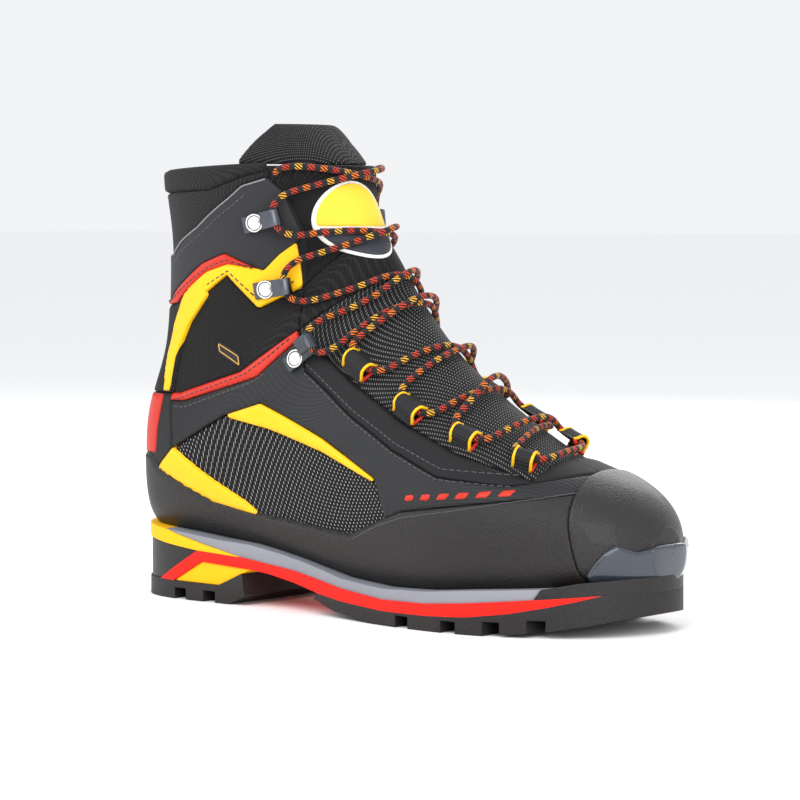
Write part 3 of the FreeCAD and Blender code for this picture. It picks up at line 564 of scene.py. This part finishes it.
# ---------- the upper, as in the CAD source
# Neighbours take their common edge from one line.
THROAT_LOWER = [(110, 135), (112, 131), (130, 121), (148, 110), (178, 94), (210, 81), (248, 69)]
FOOT_TOP = [(-20, 101), (35, 101), (77, 114), (110, 135), (150, 163), (172, 178)]
CUFF_FOOT = [(-20, 120), (50, 122), (86, 141), (109, 156), (150, 197)]
RAND_TOP = [(-20, 70), (12, 70), (18, 64), (33, 58), (58, 49), (90, 44), (115, 42), (136, 40),
            (154, 39), (178, 49), (189, 53), (224, 58), (254, 62), (268, 64)]
STAY_FOOT = [(265, 72), (240, 67), (207, 70), (178, 81), (150, 95), (117, 116)]
WINDOW_EDGE = [(30, 74), (58, 60), (80, 50)] + RAND_TOP[5:10] + [(171, 65), (133, 78), (97, 87),
                                                                 (66, 92)]
QUARTER_EDGE = ([(30, 74), (66, 92), (91, 99), (133, 84), (169, 67.5), (171, 65)] + RAND_TOP[9:]
                + STAY_FOOT + [(112, 131), (94, 117), (88, 112), (39, 98), (30, 98)])
RED_TOP = [(-20, 147), (22, 147), (37, 156), (54, 166), (69, 171), (87, 164)]
RED_FOOT = [(-20, 142), (32, 146), (42, 153), (57, 162), (71, 166), (87, 164)]
CUFF_TOP = [(101, 201), (94, 208), (81, 204), (73, 198), (62, 191), (52, 184), (38, 177),
            (28, 170), (-20, 170)]
TOE_GUARD = [(278, 0), (310, 0), (310, 41), (298, 42), (295.5, 39.5), (293, 38.3), (291, 39.8),
             (288, 42), (284.5, 38), (281, 32), (278, 27)]
ACHILLES = [(-20, 101.2), (32, 101.2), (32, 106), (44, 142.8), (53, 149.8), (42, 152.8),
            (32, 145.8), (-20, 141.8)]
GUSSET = [(110, 135.2), (150, 163.2), (172, 178.2), (172, 196.8), (150, 196.8), (109, 155.8)]
COLLAR = CUFF_TOP[:0:-1] + [(94, 211), (84, 209), (61, 202), (-20, 199)]
LOWER_BLADE = RAND_TOP[2:6] + [(80, 50), (58, 60), (30, 74)]
UPPER_BLADE = [(66, 92), (97, 87), (133, 78), (171, 65), (169, 67.5), (133, 84), (91, 99)]
PIPING = [(30, 98), (39, 98), (88, 112), (94, 117), (112, 131), (110, 135), (77, 114), (35, 101),
          (30, 101)]
SOFTSHELL = [(32, 101.2), (35, 101.2), (77, 114.2), (110, 135.2), (109, 155.8), (86, 144.8),
             (70, 160.8), (53, 149.8), (44, 142.8), (32, 106)]
CUFF_BLADE = [(42, 153), (53, 150), (70, 161), (86, 145), (109, 156), (106, 177), (98, 171),
              (90, 163), (87, 164), (71, 166), (57, 162)]
REAR_SWEEP = [(25, 102.5), (29.5, 102.5), (34.5, 120), (44, 136), (57, 150), (54, 158.5),
              (40, 151), (31, 136), (26.5, 120)]

# Where each bending piece starts and stops passing from the foot to the shaft: (x, y, z) pairs.
BEND_LINING = ((79.8, 0, 100.4), (70, 0, 109.8))
BEND_SOFT = ((75, 0, 112.5), (65.3, 0, 127.6))
BEND_INSTEP = ((86.5, 0, 94), (67.8, 0, 111.9))
BEND_REAR = ((20, 0, 103), (20, 0, 120))

# How far the face and the underside of each common layer lie from the last.
LINING = (-0.05, -4.5)
CLOTH = (1.5, 0.1)
COATED = (3.0, 0.1)
TRIM = (3.4, 0.1)
RUBBER = (4.2, 0.1)


def shifted(points, rise):
    """A side-view line moved up."""
    return [(x, z + rise) for x, z in points]


def quilt(pitch, depth):
    """Soft rows across a padded piece."""
    def rows(base, inset):
        wave = np.sqrt(np.abs(np.sin(base[:, 2] * math.pi / pitch))) - 1
        return depth * wave * np.clip(inset / 3, 0, 1)
    return rows


def dome(height, reach):
    """Stuffing: higher away from the edges."""
    return lambda base, inset: height * (1 - np.clip(1 - inset / reach, 0, 1) ** 2) - height


TONGUE_FOLD, TONGUE_FREE = 212, 22   # height where it starts to lean, and the rest to its top
TONGUE_BACK, TONGUE_DEEP = 84, 40    # where its rear is, and how far its front is from there
TONGUE_LEAN, TONGUE_TAPER = 17, 0.12


def lean_back(points):
    """The free top of the tongue leans to the leg."""
    leaning = points.copy()
    rise = np.clip((points[:, 2] - TONGUE_FOLD) / TONGUE_FREE, 0, 1)
    front = np.clip((points[:, 0] - TONGUE_BACK) / TONGUE_DEEP, 0, 1)
    leaning[:, 0] -= TONGUE_LEAN * rise ** 0.8 * front
    leaning[:, 1] *= 1 - TONGUE_TAPER * rise
    return leaning


def panel(name, outline, layer, edge, look, body=None, side="both", closed=False,
          bend=None, relief=None, warp=None):
    """A piece of the upper, in the place of the CAD node of its name if there is one."""
    thing = patch(f"look_{name}", outline, layer, edge, side, closed, relief=relief, warp=warp)
    finish_piece(thing, look, body, [name] if name in nodes else [], bend)


panel("heel_lining", [(-20, 0), (112, 0), (112, 136.5)] + FOOT_TOP[3::-1], LINING, 0.8, MESH,
      "foot", closed=True, relief=quilt(18, 0.5))
panel("vamp_lining", [(112, 0), (310, 0), (310, 178)] + FOOT_TOP[:3:-1] + [(112, 136.5)], LINING,
      0.8, MESH, "foot", closed=True)
panel("ankle_lining", shifted(FOOT_TOP, 0.2) + shifted(CUFF_FOOT[::-1], -0.2), LINING, 0.5, MESH,
      closed=True, bend=BEND_LINING)
panel("cuff_lining", CUFF_FOOT[:4] + [(109, 180), (101, 201), (101, 203), (74, 203), (74, 214),
                                      (-20, 209)], LINING, 1.5, MESH, "shaft",
      closed=True, relief=quilt(14, 0.7))
panel("toe_cap", [(280, 0), (310, 0), (310, 100), (259, 100), (262, 84), (268, 64)], RUBBER, 0.6,
      TOE, "foot")
panel("toe_guard", TOE_GUARD, (6.0, 4.3), 1.2, GUARD, "foot")
panel("heel_strip", [(-20, 70), (12, 70), (18, 64), (30, 74), (30, 101), (-20, 101)], (3.2, 0.1),
      1.0, QUARTER, "foot")
panel("vamp_textile", THROAT_LOWER + [(248, 110), (172, 178), (150, 163)], CLOTH, 0.8, VAMP,
      "foot", closed=True)
panel("achilles_strip", ACHILLES, TRIM, 2.2, KNIT, bend=BEND_REAR)
panel("instep_gusset", GUSSET, CLOTH, 0.8, SOFT, closed=True, bend=BEND_INSTEP)
panel("cuff_trim_red", RED_FOOT + RED_TOP[-2::-1], TRIM, 1.0, RED, "shaft")
panel("collar_textile", COLLAR, (1.6, 0.1), 1.2, TWILL, "shaft", closed=True)
panel("collar_rim", [(-20, 199), (61, 202), (84, 209), (94, 211), (94, 215), (-20, 210)],
      (2.6, 0.1), 2.3, KNIT, "shaft", closed=True)
panel("tongue", shifted([(109, 156), (150, 197)], 0.2) + [(150, 214), (101.3, 214), (101.3, 201),
                                                          (109.3, 180)], (1.5, -6), 1.2, SOFT,
      "shaft", closed=True, relief=dome(1.2, 9))
panel("tongue_top", [(76, 214.2), (150, 214.2), (150, 234), (88, 234), (82, 226), (76, 217)],
      (-1.0, -6), 2.4, KNIT_DOTS, "shaft", closed=True,
      relief=quilt(9, 0.5), warp=lean_back)
for side in SIDES:
    panel(f"rand_{side}", [(-20, 0), (280, 0)] + RAND_TOP[::-1], RUBBER, 0.7, RAND,
          "foot", side)
    panel(f"yellow_lower_blade_{side}", LOWER_BLADE, TRIM, 0.7, YELLOW, "foot", side)
    panel(f"window_textile_{side}", WINDOW_EDGE, CLOTH, 0.6, WINDOW, "foot", side)
    panel(f"yellow_upper_blade_{side}", UPPER_BLADE, TRIM, 0.7, YELLOW, "foot", side)
    panel(f"quarter_{side}", QUARTER_EDGE, COATED, 1.0, QUARTER, "foot",
          side)
    panel(f"eyestay_{side}", THROAT_LOWER[1:] + [(248, 95), (261, 95)] + STAY_FOOT, COATED, 1.2,
          STAY, "foot", side)
    panel(f"ankle_piping_{side}", PIPING, TRIM, 1.2, RED, "foot", side)
    panel(f"ankle_softshell_{side}", SOFTSHELL, CLOTH, 0.8, SOFT, side=side,
          bend=BEND_SOFT)
    panel(f"cuff_trim_yellow_{side}", CUFF_BLADE, TRIM, 0.9, YELLOW, "shaft", side)
    panel(f"cuff_panel_{side}", RED_TOP + [(90, 163), (98, 171), (106, 177), (108, 182)] + CUFF_TOP,
          COATED, 1.1, CUFF, "shaft", side)
panel("throat_facing", [(101, 201), (101.4, 213.5), (92, 213.5), (88, 202)], (-0.3, -3.2), 0.8,
      KNIT, "shaft", closed=True)

# ---------- badge and tag
BADGE_Y, BADGE_Z = -8, 188           # the oval's middle
BADGE_RADII = (17, 18.5)
BADGE_POINTS = 48
FIELD_SHARE = 0.93                   # the coloured fields leave a pale border
badge_edge = [(BADGE_Y + BADGE_RADII[0] * math.cos(2 * math.pi * i / BADGE_POINTS),
               BADGE_Z + BADGE_RADII[1] * math.sin(2 * math.pi * i / BADGE_POINTS))
              for i in range(BADGE_POINTS)]
badge = patch("look_tongue_badge", badge_edge, (2.4, 1.6), 0.5, front=True)
finish_piece(badge, WHITE, "shaft", ["tongue_badge"])
for name, look, low, high in (("badge_upper", BADGE_YELLOW, 184.5, 250),
                              ("badge_lower", BADGE_DARK, 150, 183.6)):
    outline = [(BADGE_Y + (y - BADGE_Y) * FIELD_SHARE,
                min(max(BADGE_Z + (z - BADGE_Z) * FIELD_SHARE, low), high)) for y, z in badge_edge]
    field = patch(name, outline, (2.7, 2.35), 0.3, front=True)
    finish_piece(field, look, "shaft")
tag = patch("look_membrane_tag", [(61, 129), (75, 122), (76, 115.5), (62, 122.5)], (2.3, 1.6), 0.3,
            "lateral")
finish_piece(tag, TAG, None, ["membrane_tag"], bend=BEND_SOFT)


# ---------- threads, beads, marks
def tube_mesh(name, runs, radius, sides=8):
    """Round threads with flat ends: each run is a list of points in building millimetres."""
    vertices, faces, uvs = [], [], []
    for run in runs:
        run = [Vector(p) for p in run]
        travelled = 0.0
        up = None
        start = len(vertices)
        for i, point in enumerate(run):
            ahead = (run[min(i + 1, len(run) - 1)] - run[max(i - 1, 0)]).normalized()
            if up is None:
                up = ahead.orthogonal().normalized()
            up = (up - ahead * up.dot(ahead)).normalized()
            aside = ahead.cross(up)
            travelled += (run[i] - run[i - 1]).length if i else 0.0
            for k in range(sides):
                angle = 2 * math.pi * k / sides
                spoke = up * math.cos(angle) + aside * math.sin(angle)
                vertices.append(point + spoke * radius)
                uvs.append((k / sides * 2 * math.pi * radius, travelled))
        for i in range(len(run) - 1):
            for k in range(sides):
                a, b = start + i * sides + k, start + i * sides + (k + 1) % sides
                faces.append([a, b, b + sides, a + sides])
        faces.append([start + k for k in range(sides)][::-1])
        faces.append([start + (len(run) - 1) * sides + k for k in range(sides)])
    return mesh_object(name, np.array(vertices), faces, np.array(uvs))


THREAD_STEP = 0.55        # between the points of a stitch
THREAD_DIP = 0.25         # a stitch's ends go down into the cloth by this
BEAD_STEP = 1.0


def walk(points, step):
    """Places every step millimetres along a side-view line."""
    places, left = [], 0.0
    for (x0, z0), (x1, z1) in zip(points, points[1:]):
        length = math.hypot(x1 - x0, z1 - z0)
        along = left
        while along < length:
            places.append((x0 + (x1 - x0) * along / length, z0 + (z1 - z0) * along / length))
            along += step
        left = along - length
    return places


def seam(name, points, side, grow, look, body, bend=None, stitch=2.2, gap=1.1,
         radius=0.32):
    """A row of stitches laid on the surface."""
    runs = []
    places = walk(points, THREAD_STEP)
    count = round((stitch + gap) / THREAD_STEP)
    drawn = round(stitch / THREAD_STEP)
    for first in range(0, len(places) - 3, count):
        run = []
        part = places[first:first + drawn + 1]
        for i, (x, z) in enumerate(part):
            dip = THREAD_DIP if i in (0, len(part) - 1) else 0.0
            run.append(on_last(x, z, side, grow - dip))
        run = [place for place in run if place]
        if len(run) > 2:
            runs.append(run)
    finish_piece(tube_mesh(name, runs, radius, 6), look, body, bend=bend)


def bead(name, points, side, grow, radius, look, body):
    """A continuous round edge laid on the surface."""
    run = [on_last(x, z, side, grow) for x, z in walk(points, BEAD_STEP)]
    finish_piece(tube_mesh(name, [[place for place in run if place]], radius), look, body)


for side in SIDES:
    stay = STAY_FOOT[1:]
    seam(f"stay_stitch_upper_{side}", shifted(stay, 2.4), side, 3.0, STITCH, "foot")
    seam(f"stay_stitch_lower_{side}", shifted(stay, -2.2), side, 3.0, STITCH, "foot")
    seam(f"vamp_stitch_{side}", [(261, 73), (250, 75.5), (240, 77)], side, 2.95, WARM_STITCH,
         "foot", stitch=1.6, gap=0.6, radius=0.25)
    seam(f"quarter_stitch_{side}", [(92, 113), (84, 108.5), (40, 95.5), (33, 95.5)], side, 3.0,
         STITCH, "foot")
    seam(f"cuff_stitch_{side}", [(30, 166.5), (40, 173), (54, 180.5), (64, 187.5), (75, 194.5),
                                 (83, 200.5)], side, 3.0, STITCH, "shaft")
    bead(f"cuff_edge_{side}", COLLAR[1:7] + [(93, 207.5)], side, 2.8, 0.4, PALE_STITCH, "shaft")
    seam(f"red_stitch_{side}", [(12, 145), (30, 148.5), (44, 156.5), (58, 164), (70, 168.3),
                                (84, 164.6)], side, 3.4, DARK_STITCH, "shaft")
    seam(f"yellow_stitch_{side}", [(58, 156), (71, 163), (86, 149), (104, 158)], side, 3.4,
         DARK_STITCH, "shaft")
    seam(f"rand_edge_{side}", [(96, 42), (118, 39.8), (140, 37.8), (153, 37.2), (176, 46.6),
                               (190, 50.6), (224, 55.6), (254, 59.6), (266, 61.5)], side, 4.15,
         STITCH, "foot", stitch=60, gap=0.6, radius=0.25)
    bead(f"toe_seam_{side}", [(268.2, 63), (270, 57), (274, 42), (277, 28)], side, 4.2, 0.3,
         PALE_STITCH, "foot")
    seam(f"piping_stitch_{side}", [(35, 99.2), (80, 112.6), (94, 121), (108, 131.5)], side, 3.35,
         DARK_STITCH, "foot")
    sweep = patch(f"rear_sweep_{side}", REAR_SWEEP, (4.0, 1.5), 0.8, side)
    finish_piece(sweep, YELLOW, bend=BEND_SOFT)
seam("tag_edge", [(62.2, 127.2), (74, 121.2), (75, 117), (63, 123.6), (62.2, 127)], "lateral", 2.35,
     GOLD, None, BEND_SOFT, stitch=40, gap=0.5, radius=0.25)

heel_red = patch("heel_red", [(-20, 72), (17, 71), (19, 84), (25, 101), (-20, 101)], (3.7, 3.1),
                 0.6)
finish_piece(heel_red, RED, "foot")

# Short slanted dashes on the outer quarter: a generic mark on a line that rises to the toe.
DASH_X, DASH_Z = 190, 58.3
DASH_PITCH, DASH_RISE = 9.5, 0.085
for order in range(6):
    x = DASH_X + order * DASH_PITCH
    z = DASH_Z + (x - DASH_X) * DASH_RISE
    dash = patch(f"dash_{order}", [(x, z), (x + 5.5, z + 0.5), (x + 7, z + 3.5), (x + 1.5, z + 3)],
                 (3.25, 2.9), 0.3, "lateral")
    finish_piece(dash, RED, "foot")

# ---------- lace
# The lace's centre line, lower end first, by the CAD source's points. Its halves meet at BAR.
LACE_A = [
    (247, -22, 77.5), (233, -27, 81.5), (231, -12, 88), (227, 1, 90.5), (223, 14, 91.5),
    (217, 29, 89.5), (194.5, 32, 98), (200, 16, 107.5), (201, -1, 108.5), (199.5, -19, 105.5),
    (192, -37.5, 95.5), (172, -36.5, 106.5), (178.5, -20.5, 119), (181.5, -1, 126.5),
    (179, 18, 128.5), (162, 33, 114), (142.5, 33, 125.5), (152.5, 21, 139.5), (160, 8, 147.5),
    (159.5, -8, 148.5), (149, -22.5, 142), (128, -39.5, 120), (114.5, -37, 136.5),
    (143.5, -22, 148), (154.5, -8.5, 161.5), (151.5, 8.5, 164.5), (137, 23, 155.5),
    (104, 33.5, 145.5), (101, 36, 166), (125, 19.5, 174.5), (139, 7, 180.2), (137.5, -6, 182.3),
    (123, -20, 182.5), (101.5, -37.5, 178.5), (97.5, -40, 198), (117.5, -21, 205.5),
    (130, -7, 209.9), (129.5, 7, 211.8), (117.5, 21.5, 213), (106, 33.6, 213.2), (97, 36, 211),
    (93.5, 27.5, 205.5), (91.5, 22, 194), (90, 19, 178), (89, 17, 163)]
LACE_B = [
    (242.5, 21, 82), (223, 27, 87.5), (227, 12.5, 96.5), (225.5, -2, 95), (224, -16, 91.5),
    (221, -32.5, 85.5), (203.5, -35, 92.5), (204.5, -18, 105), (204.5, -1, 116),
    (198.5, 17, 111.5), (186.5, 33, 100.5), (167, 33, 110.5), (175, 17, 123.5), (178, -1, 129.5),
    (171.5, -20.5, 124.5), (159.5, -35, 114), (139.5, -34.5, 126.5), (153.5, -22.5, 140.5),
    (164, -9, 151.5), (162.5, 8.5, 151.5), (149.5, 23.5, 143), (128, 39.5, 120),
    (114.5, 37, 136.5), (143.5, 22, 147.5), (151, 8, 159), (149, -8, 162.5), (136, -23, 154.5),
    (104, -33.5, 145.5), (101, -36, 166), (125.5, -19.5, 174.5), (142.2, -7, 182),
    (140.8, 6.5, 184.6), (124, 20, 183.5), (101.5, 37.5, 178.5), (97.5, 40, 198), (117, 22, 205),
    (125, 7, 207), (125, -7, 209.5), (117.5, -22, 212.2), (106, -33.5, 213.5), (97, -35.5, 211),
    (93.5, -27.5, 205.5), (91.5, -22, 194), (90, -19, 178), (89, -17, 163)]
BAR = (246.5, 0, 81.5)
LACE_R = 1.55
LACE_SIDES = 14
TIP_R = LACE_R + 0.09
TIP_RINGS = (0.1, 6, 12, 17.2, 18)   # along a tip
LOOP_STARTS = (0, 5, 10, 15)         # the points where the runs through the tunnels start
FLECK_REPEAT = 24                    # of the lace's four coloured flecks


def nurbs_line(points):
    """Points along the smooth NURBS curve that follows a route."""
    data = bpy.data.curves.new("route", "CURVE")
    data.dimensions = "3D"
    data.resolution_u = 14
    spline = data.splines.new("NURBS")
    spline.points.add(len(points) - 1)
    for place, point in zip(spline.points, points):
        place.co = (*point, 1)
    spline.order_u = 3
    spline.use_endpoint_u = True
    thing = bpy.data.objects.new("route", data)
    scene.collection.objects.link(thing)
    bpy.context.view_layer.update()
    line = [v.co.copy() for v in thing.to_mesh().vertices]
    thing.to_mesh_clear()
    bpy.data.objects.remove(thing)
    return line


braid = Shader("braid", (20, 19, 20), 0.7, sheen=0.08, shine=0.25)
one_way = braid.ribs("UV", 1.3, 42)
other_way = braid.ribs("UV", 1.3, -42)
braid.bump(braid.math("MAXIMUM", one_way, other_way), 0.22)
braid.tint(one_way, (60, 60, 64), 0.3)
repeat = braid.math("DIVIDE", braid.axes("UV", 1.0)[1], FLECK_REPEAT)
fleck = braid.math("GREATER_THAN", one_way, 0.6)
for offset, colour in ((0.0, (214, 60, 24)), (0.25, (240, 120, 20)), (0.5, (206, 52, 24)),
                       (0.75, (244, 176, 40))):
    place = braid.math("FRACT", braid.math("ADD", repeat, offset))
    braid.tint(braid.math("MULTIPLY", fleck, braid.math("LESS_THAN", place, 0.14)), colour)

line = nurbs_line(LACE_A[::-1] + [BAR] + LACE_B)
lace = tube_mesh("look_lace", [line], LACE_R, LACE_SIDES)
finish_piece(lace, braid.material, None, ["lace"], bend=BEND_INSTEP)

tips = []
for tip, before in ((LACE_A[-1], LACE_A[-2]), (LACE_B[-1], LACE_B[-2])):
    along = (Vector(tip) - Vector(before)).normalized()
    tips.append([Vector(tip) + along * d for d in TIP_RINGS])
finish_piece(tube_mesh("look_lace_tips", tips, TIP_R, 16), TIP, "shaft",
             ["lace_tips"])


# ---------- lace tunnels
TUNNEL_SHARE = 0.27                  # half its length as a share of the lace run
TUNNEL_RINGS = 9
TUNNEL_LEAN = 0.9                    # how much it faces up as well as out
TUNNEL_INNER = 0.80                  # the inner face as a share of the outer one
FLARE = 0.08                         # its mouths are higher than its middle by this share
ARCH = [(-6.6, -3.3), (-5.4, -2.6), (-4.3, -1.0), (-3.7, 0.9), (-2.7, 2.6), (-1.2, 3.45),
        (0, 3.6), (1.2, 3.45), (2.7, 2.6), (3.7, 0.9), (4.3, -1.0), (5.4, -2.6), (6.6, -3.3)]


def tunnel(lower, upper, side):
    """A ribbed strip arched over the lace, with a yellow edge and a red lip at its mouth."""
    lower, upper = Vector(lower), Vector(upper)
    along = (upper - lower).normalized()
    outward = Vector((0, SIDES[side], TUNNEL_LEAN))
    outward = (outward - along * outward.dot(along)).normalized()
    across = outward.cross(along)
    middle = (lower + upper) / 2
    half = (upper - lower).length * TUNNEL_SHARE
    spots, faces, uvs = [], [], []
    for inner, shrink in enumerate((1.0, TUNNEL_INNER)):
        for i in range(TUNNEL_RINGS):
            t = -half + 2 * half * i / (TUNNEL_RINGS - 1)
            flare = 1 + FLARE * (abs(t) / half) ** 2
            for k, (a, b) in enumerate(ARCH):
                height = b * shrink if b > 0 else b - 0.3 * inner
                spots.append(middle + along * t + across * a * (shrink if abs(a) < 5 else 1)
                             + outward * height * flare)
                uvs.append((k * 1.4, t))
    wide = len(ARCH)
    offset = TUNNEL_RINGS * wide
    for i in range(TUNNEL_RINGS - 1):
        for k in range(wide - 1):
            a = i * wide + k
            faces.append([a, a + wide, a + wide + 1, a + 1])
            faces.append([offset + a + 1, offset + a + wide + 1, offset + a + wide, offset + a])
    for k in range(wide - 1):
        faces.append([k, k + 1, offset + k + 1, offset + k])
        end = (TUNNEL_RINGS - 1) * wide + k
        faces.append([end + 1, end, offset + end, offset + end + 1])
    for i in range(TUNNEL_RINGS - 1):
        left, right = i * wide, i * wide + wide - 1
        faces.append([left + wide, left, offset + left, offset + left + wide])
        faces.append([right, right + wide, offset + right + wide, offset + right])
    mouths = [[middle + along * t + across * a * 0.97 + outward * (b if b < 0 else b * 0.93)
               for a, b in ARCH[1:-1]] for t in (-half - 0.2, half + 0.2)]
    lip = [middle - along * (half + 0.6) + across * a + outward * b
           for a, b in ((-5.0, -2.6), (-2.5, -3.1), (0, -3.3), (2.5, -3.1), (5.0, -2.6))]
    return spots, faces, uvs, mouths, lip


for side, halves in (("lateral", (LACE_A, LACE_B)), ("medial", (LACE_B, LACE_A))):
    spots, faces, uvs, mouths, lips = [], [], [], [], []
    for order, start in enumerate(LOOP_STARTS):
        points = halves[order % 2]
        strip, strip_faces, strip_uvs, rims, lip = tunnel(points[start], points[start + 1], side)
        faces += [[v + len(spots) for v in face] for face in strip_faces]
        spots += strip
        uvs += strip_uvs
        mouths += rims
        lips.append(lip)
    loops = mesh_object(f"look_lace_loops_{side}", np.array(spots), faces, np.array(uvs))
    finish_piece(loops, WEBBING, "foot", [f"lace_loops_{side}"])
    finish_piece(tube_mesh(f"loop_edges_{side}", mouths, 0.75), YELLOW, "foot")
    finish_piece(tube_mesh(f"loop_lips_{side}", lips, 0.9), RED, "foot")

# ---------- CAD pieces that stay
WELD = 0.02                          # corners nearer than this become one
# Each piece's material, and the width of its rounded edges.
SHOWN = {"heel_ledge": (YELLOW_FOAM, 0.7), "heel_block": (RAND, 0.8),
         "heel_insert": (YELLOW_FOAM, 0.5), "midsole_red": (RED_FOAM, 0.6),
         "toe_welt": (RAND, 0.7), "midsole_grey": (GREY_FOAM, 0.8), "lasting_board": (BOARD, 0.3),
         "shank": (CARBON, 0.2), "outsole_forefoot": (TREAD, 0.8), "outsole_heel": (TREAD, 0.8),
         "cuff_hooks": (DARK_METAL, 0.25), "cuff_hook_rivets": (BRIGHT_METAL, 0.1),
         "locking_hooks": (PLATE, 0.25), "locking_hook_rivets": (BRIGHT_METAL, 0.1)}
for name, (look, width) in SHOWN.items():
    thing = nodes[name]
    thing.data.materials.clear()
    thing.data.materials.append(look)
    weld = thing.modifiers.new("weld", "WELD")
    weld.merge_threshold = WELD * MM
    bevel = thing.modifiers.new("bevel", "BEVEL")
    bevel.width = width * MM
    bevel.segments = 3
    bevel.limit_method = "ANGLE"
    bevel.angle_limit = math.radians(38)
    bevel.harden_normals = True

# A raised rim round each hook's rivet, and a rounded seat: radius, rise, thickness radius.
RIM = (4.1, 1.15, 0.4)
SEAT = (3.9, 0.5, 0.8)
CIRCLE = 28                          # straight pieces round either
for kind, body in (("cuff", "shaft"), ("locking", "foot")):
    corners = np.array([v.co for v in nodes[f"{kind}_hook_rivets"].data.vertices]) * 1000 - ROW
    groups = []
    for sign in (-1, 1):
        half = corners[corners[:, 1] * sign > 0]
        level = (half[:, 2].min() + half[:, 2].max()) / 2
        groups += ([half[half[:, 2] < level], half[half[:, 2] >= level]] if kind == "cuff"
                   else [half])
    rims, seats = [], []
    for group in groups:
        centre = group.mean(axis=0)
        axis = np.linalg.svd(group - centre, full_matrices=False)[2][2]
        axis = axis * np.sign(axis[1] * centre[1])
        foot = Vector(centre + axis * ((group - centre) @ axis).min())
        axis = Vector(axis)
        first = axis.orthogonal().normalized()
        second = axis.cross(first)
        turns = [2 * math.pi * i / CIRCLE for i in range(CIRCLE + 1)]
        circle = [first * math.cos(turn) + second * math.sin(turn) for turn in turns]
        for rings, (radius, rise, _) in ((rims, RIM), (seats, SEAT)):
            rings.append([foot + axis * rise + spoke * radius for spoke in circle])
    for part, rings, look, size in (("rims", rims, BRIGHT_METAL, RIM),
                                    ("seats", seats, DARK_METAL, SEAT)):
        finish_piece(tube_mesh(f"{kind}_hook_{part}", rings, size[2]), look, body)

# The footbed: the CAD piece's own outline, softened.
footbed = bpy.data.objects.new("look_footbed", nodes["footbed"].data.copy())
scene.collection.objects.link(footbed)
weld = footbed.modifiers.new("weld", "WELD")
weld.merge_threshold = 0.05 * MM
remesh = footbed.modifiers.new("remesh", "REMESH")
remesh.mode = "VOXEL"
remesh.voxel_size = 1.1 * MM
remesh.use_smooth_shade = True
ease = footbed.modifiers.new("ease", "SMOOTH")
ease.iterations = 6
finish_piece(footbed, FELT, "foot", ["footbed"])

# ---------- floor, light and camera
FLOOR_SIZE = 60                      # its far edge lies near the horizon
WORLD_STRENGTH = 0.92
bpy.ops.mesh.primitive_plane_add(size=FLOOR_SIZE, location=(0, 0, 0))
floor = bpy.context.object
floor.name = "floor"
pale = Shader("floor_pale", (250, 250, 250), 0.9, shine=0.1)
floor.data.materials.append(pale.material)

world = scene.world or bpy.data.worlds.new("world")
scene.world = world
world.use_nodes = True
background = world.node_tree.nodes["Background"]
background.inputs["Color"].default_value = (0.97, 0.98, 1.0, 1)
background.inputs["Strength"].default_value = WORLD_STRENGTH

# Soft square lamps that face the boot's middle: place, size in metres, watts.
LAMPS = {"key": ((0.35, -1.1, 1.15), 0.9, 11), "front": ((1.2, -0.5, 0.5), 0.8, 7.5),
         "left": ((-1.0, -0.8, 0.7), 0.9, 6), "rim": ((-0.3, 1.2, 0.9), 0.9, 8)}
MIDDLE = Vector((0, 0, 0.11))
for name, (place, size, power) in LAMPS.items():
    data = bpy.data.lights.new(name, "AREA")
    data.shape = "SQUARE"
    data.size = size
    data.energy = power
    lamp = bpy.data.objects.new(name, data)
    lamp.location = place
    lamp.rotation_euler = (MIDDLE - Vector(place)).to_track_quat("-Z", "Y").to_euler()
    scene.collection.objects.link(lamp)

scene.view_settings.view_transform = "Standard"
# The camera looks at TARGET from the outer front, turned from the outer side and a little raised.
TURN, LIFT = math.radians(39), math.radians(3)
DISTANCE = 1.5
TARGET = Vector((0.0092, 0.0015, 0.110))
FOCAL, FRAME = 3135, 800             # focal length and frame width in pixels
SHIFT = (-14, -18)                   # of the frame, in pixels
camera_data = bpy.data.cameras.new("camera")
camera_data.sensor_width = 36
camera_data.lens = FOCAL * camera_data.sensor_width / FRAME
camera_data.shift_x = SHIFT[0] / FRAME
camera_data.shift_y = SHIFT[1] / FRAME
camera = bpy.data.objects.new("camera", camera_data)
back = Vector((math.sin(TURN) * math.cos(LIFT), -math.cos(TURN) * math.cos(LIFT), math.sin(LIFT)))
camera.location = TARGET + back * DISTANCE
camera.rotation_euler = (-back).to_track_quat("-Z", "Y").to_euler()
scene.collection.objects.link(camera)
scene.camera = camera
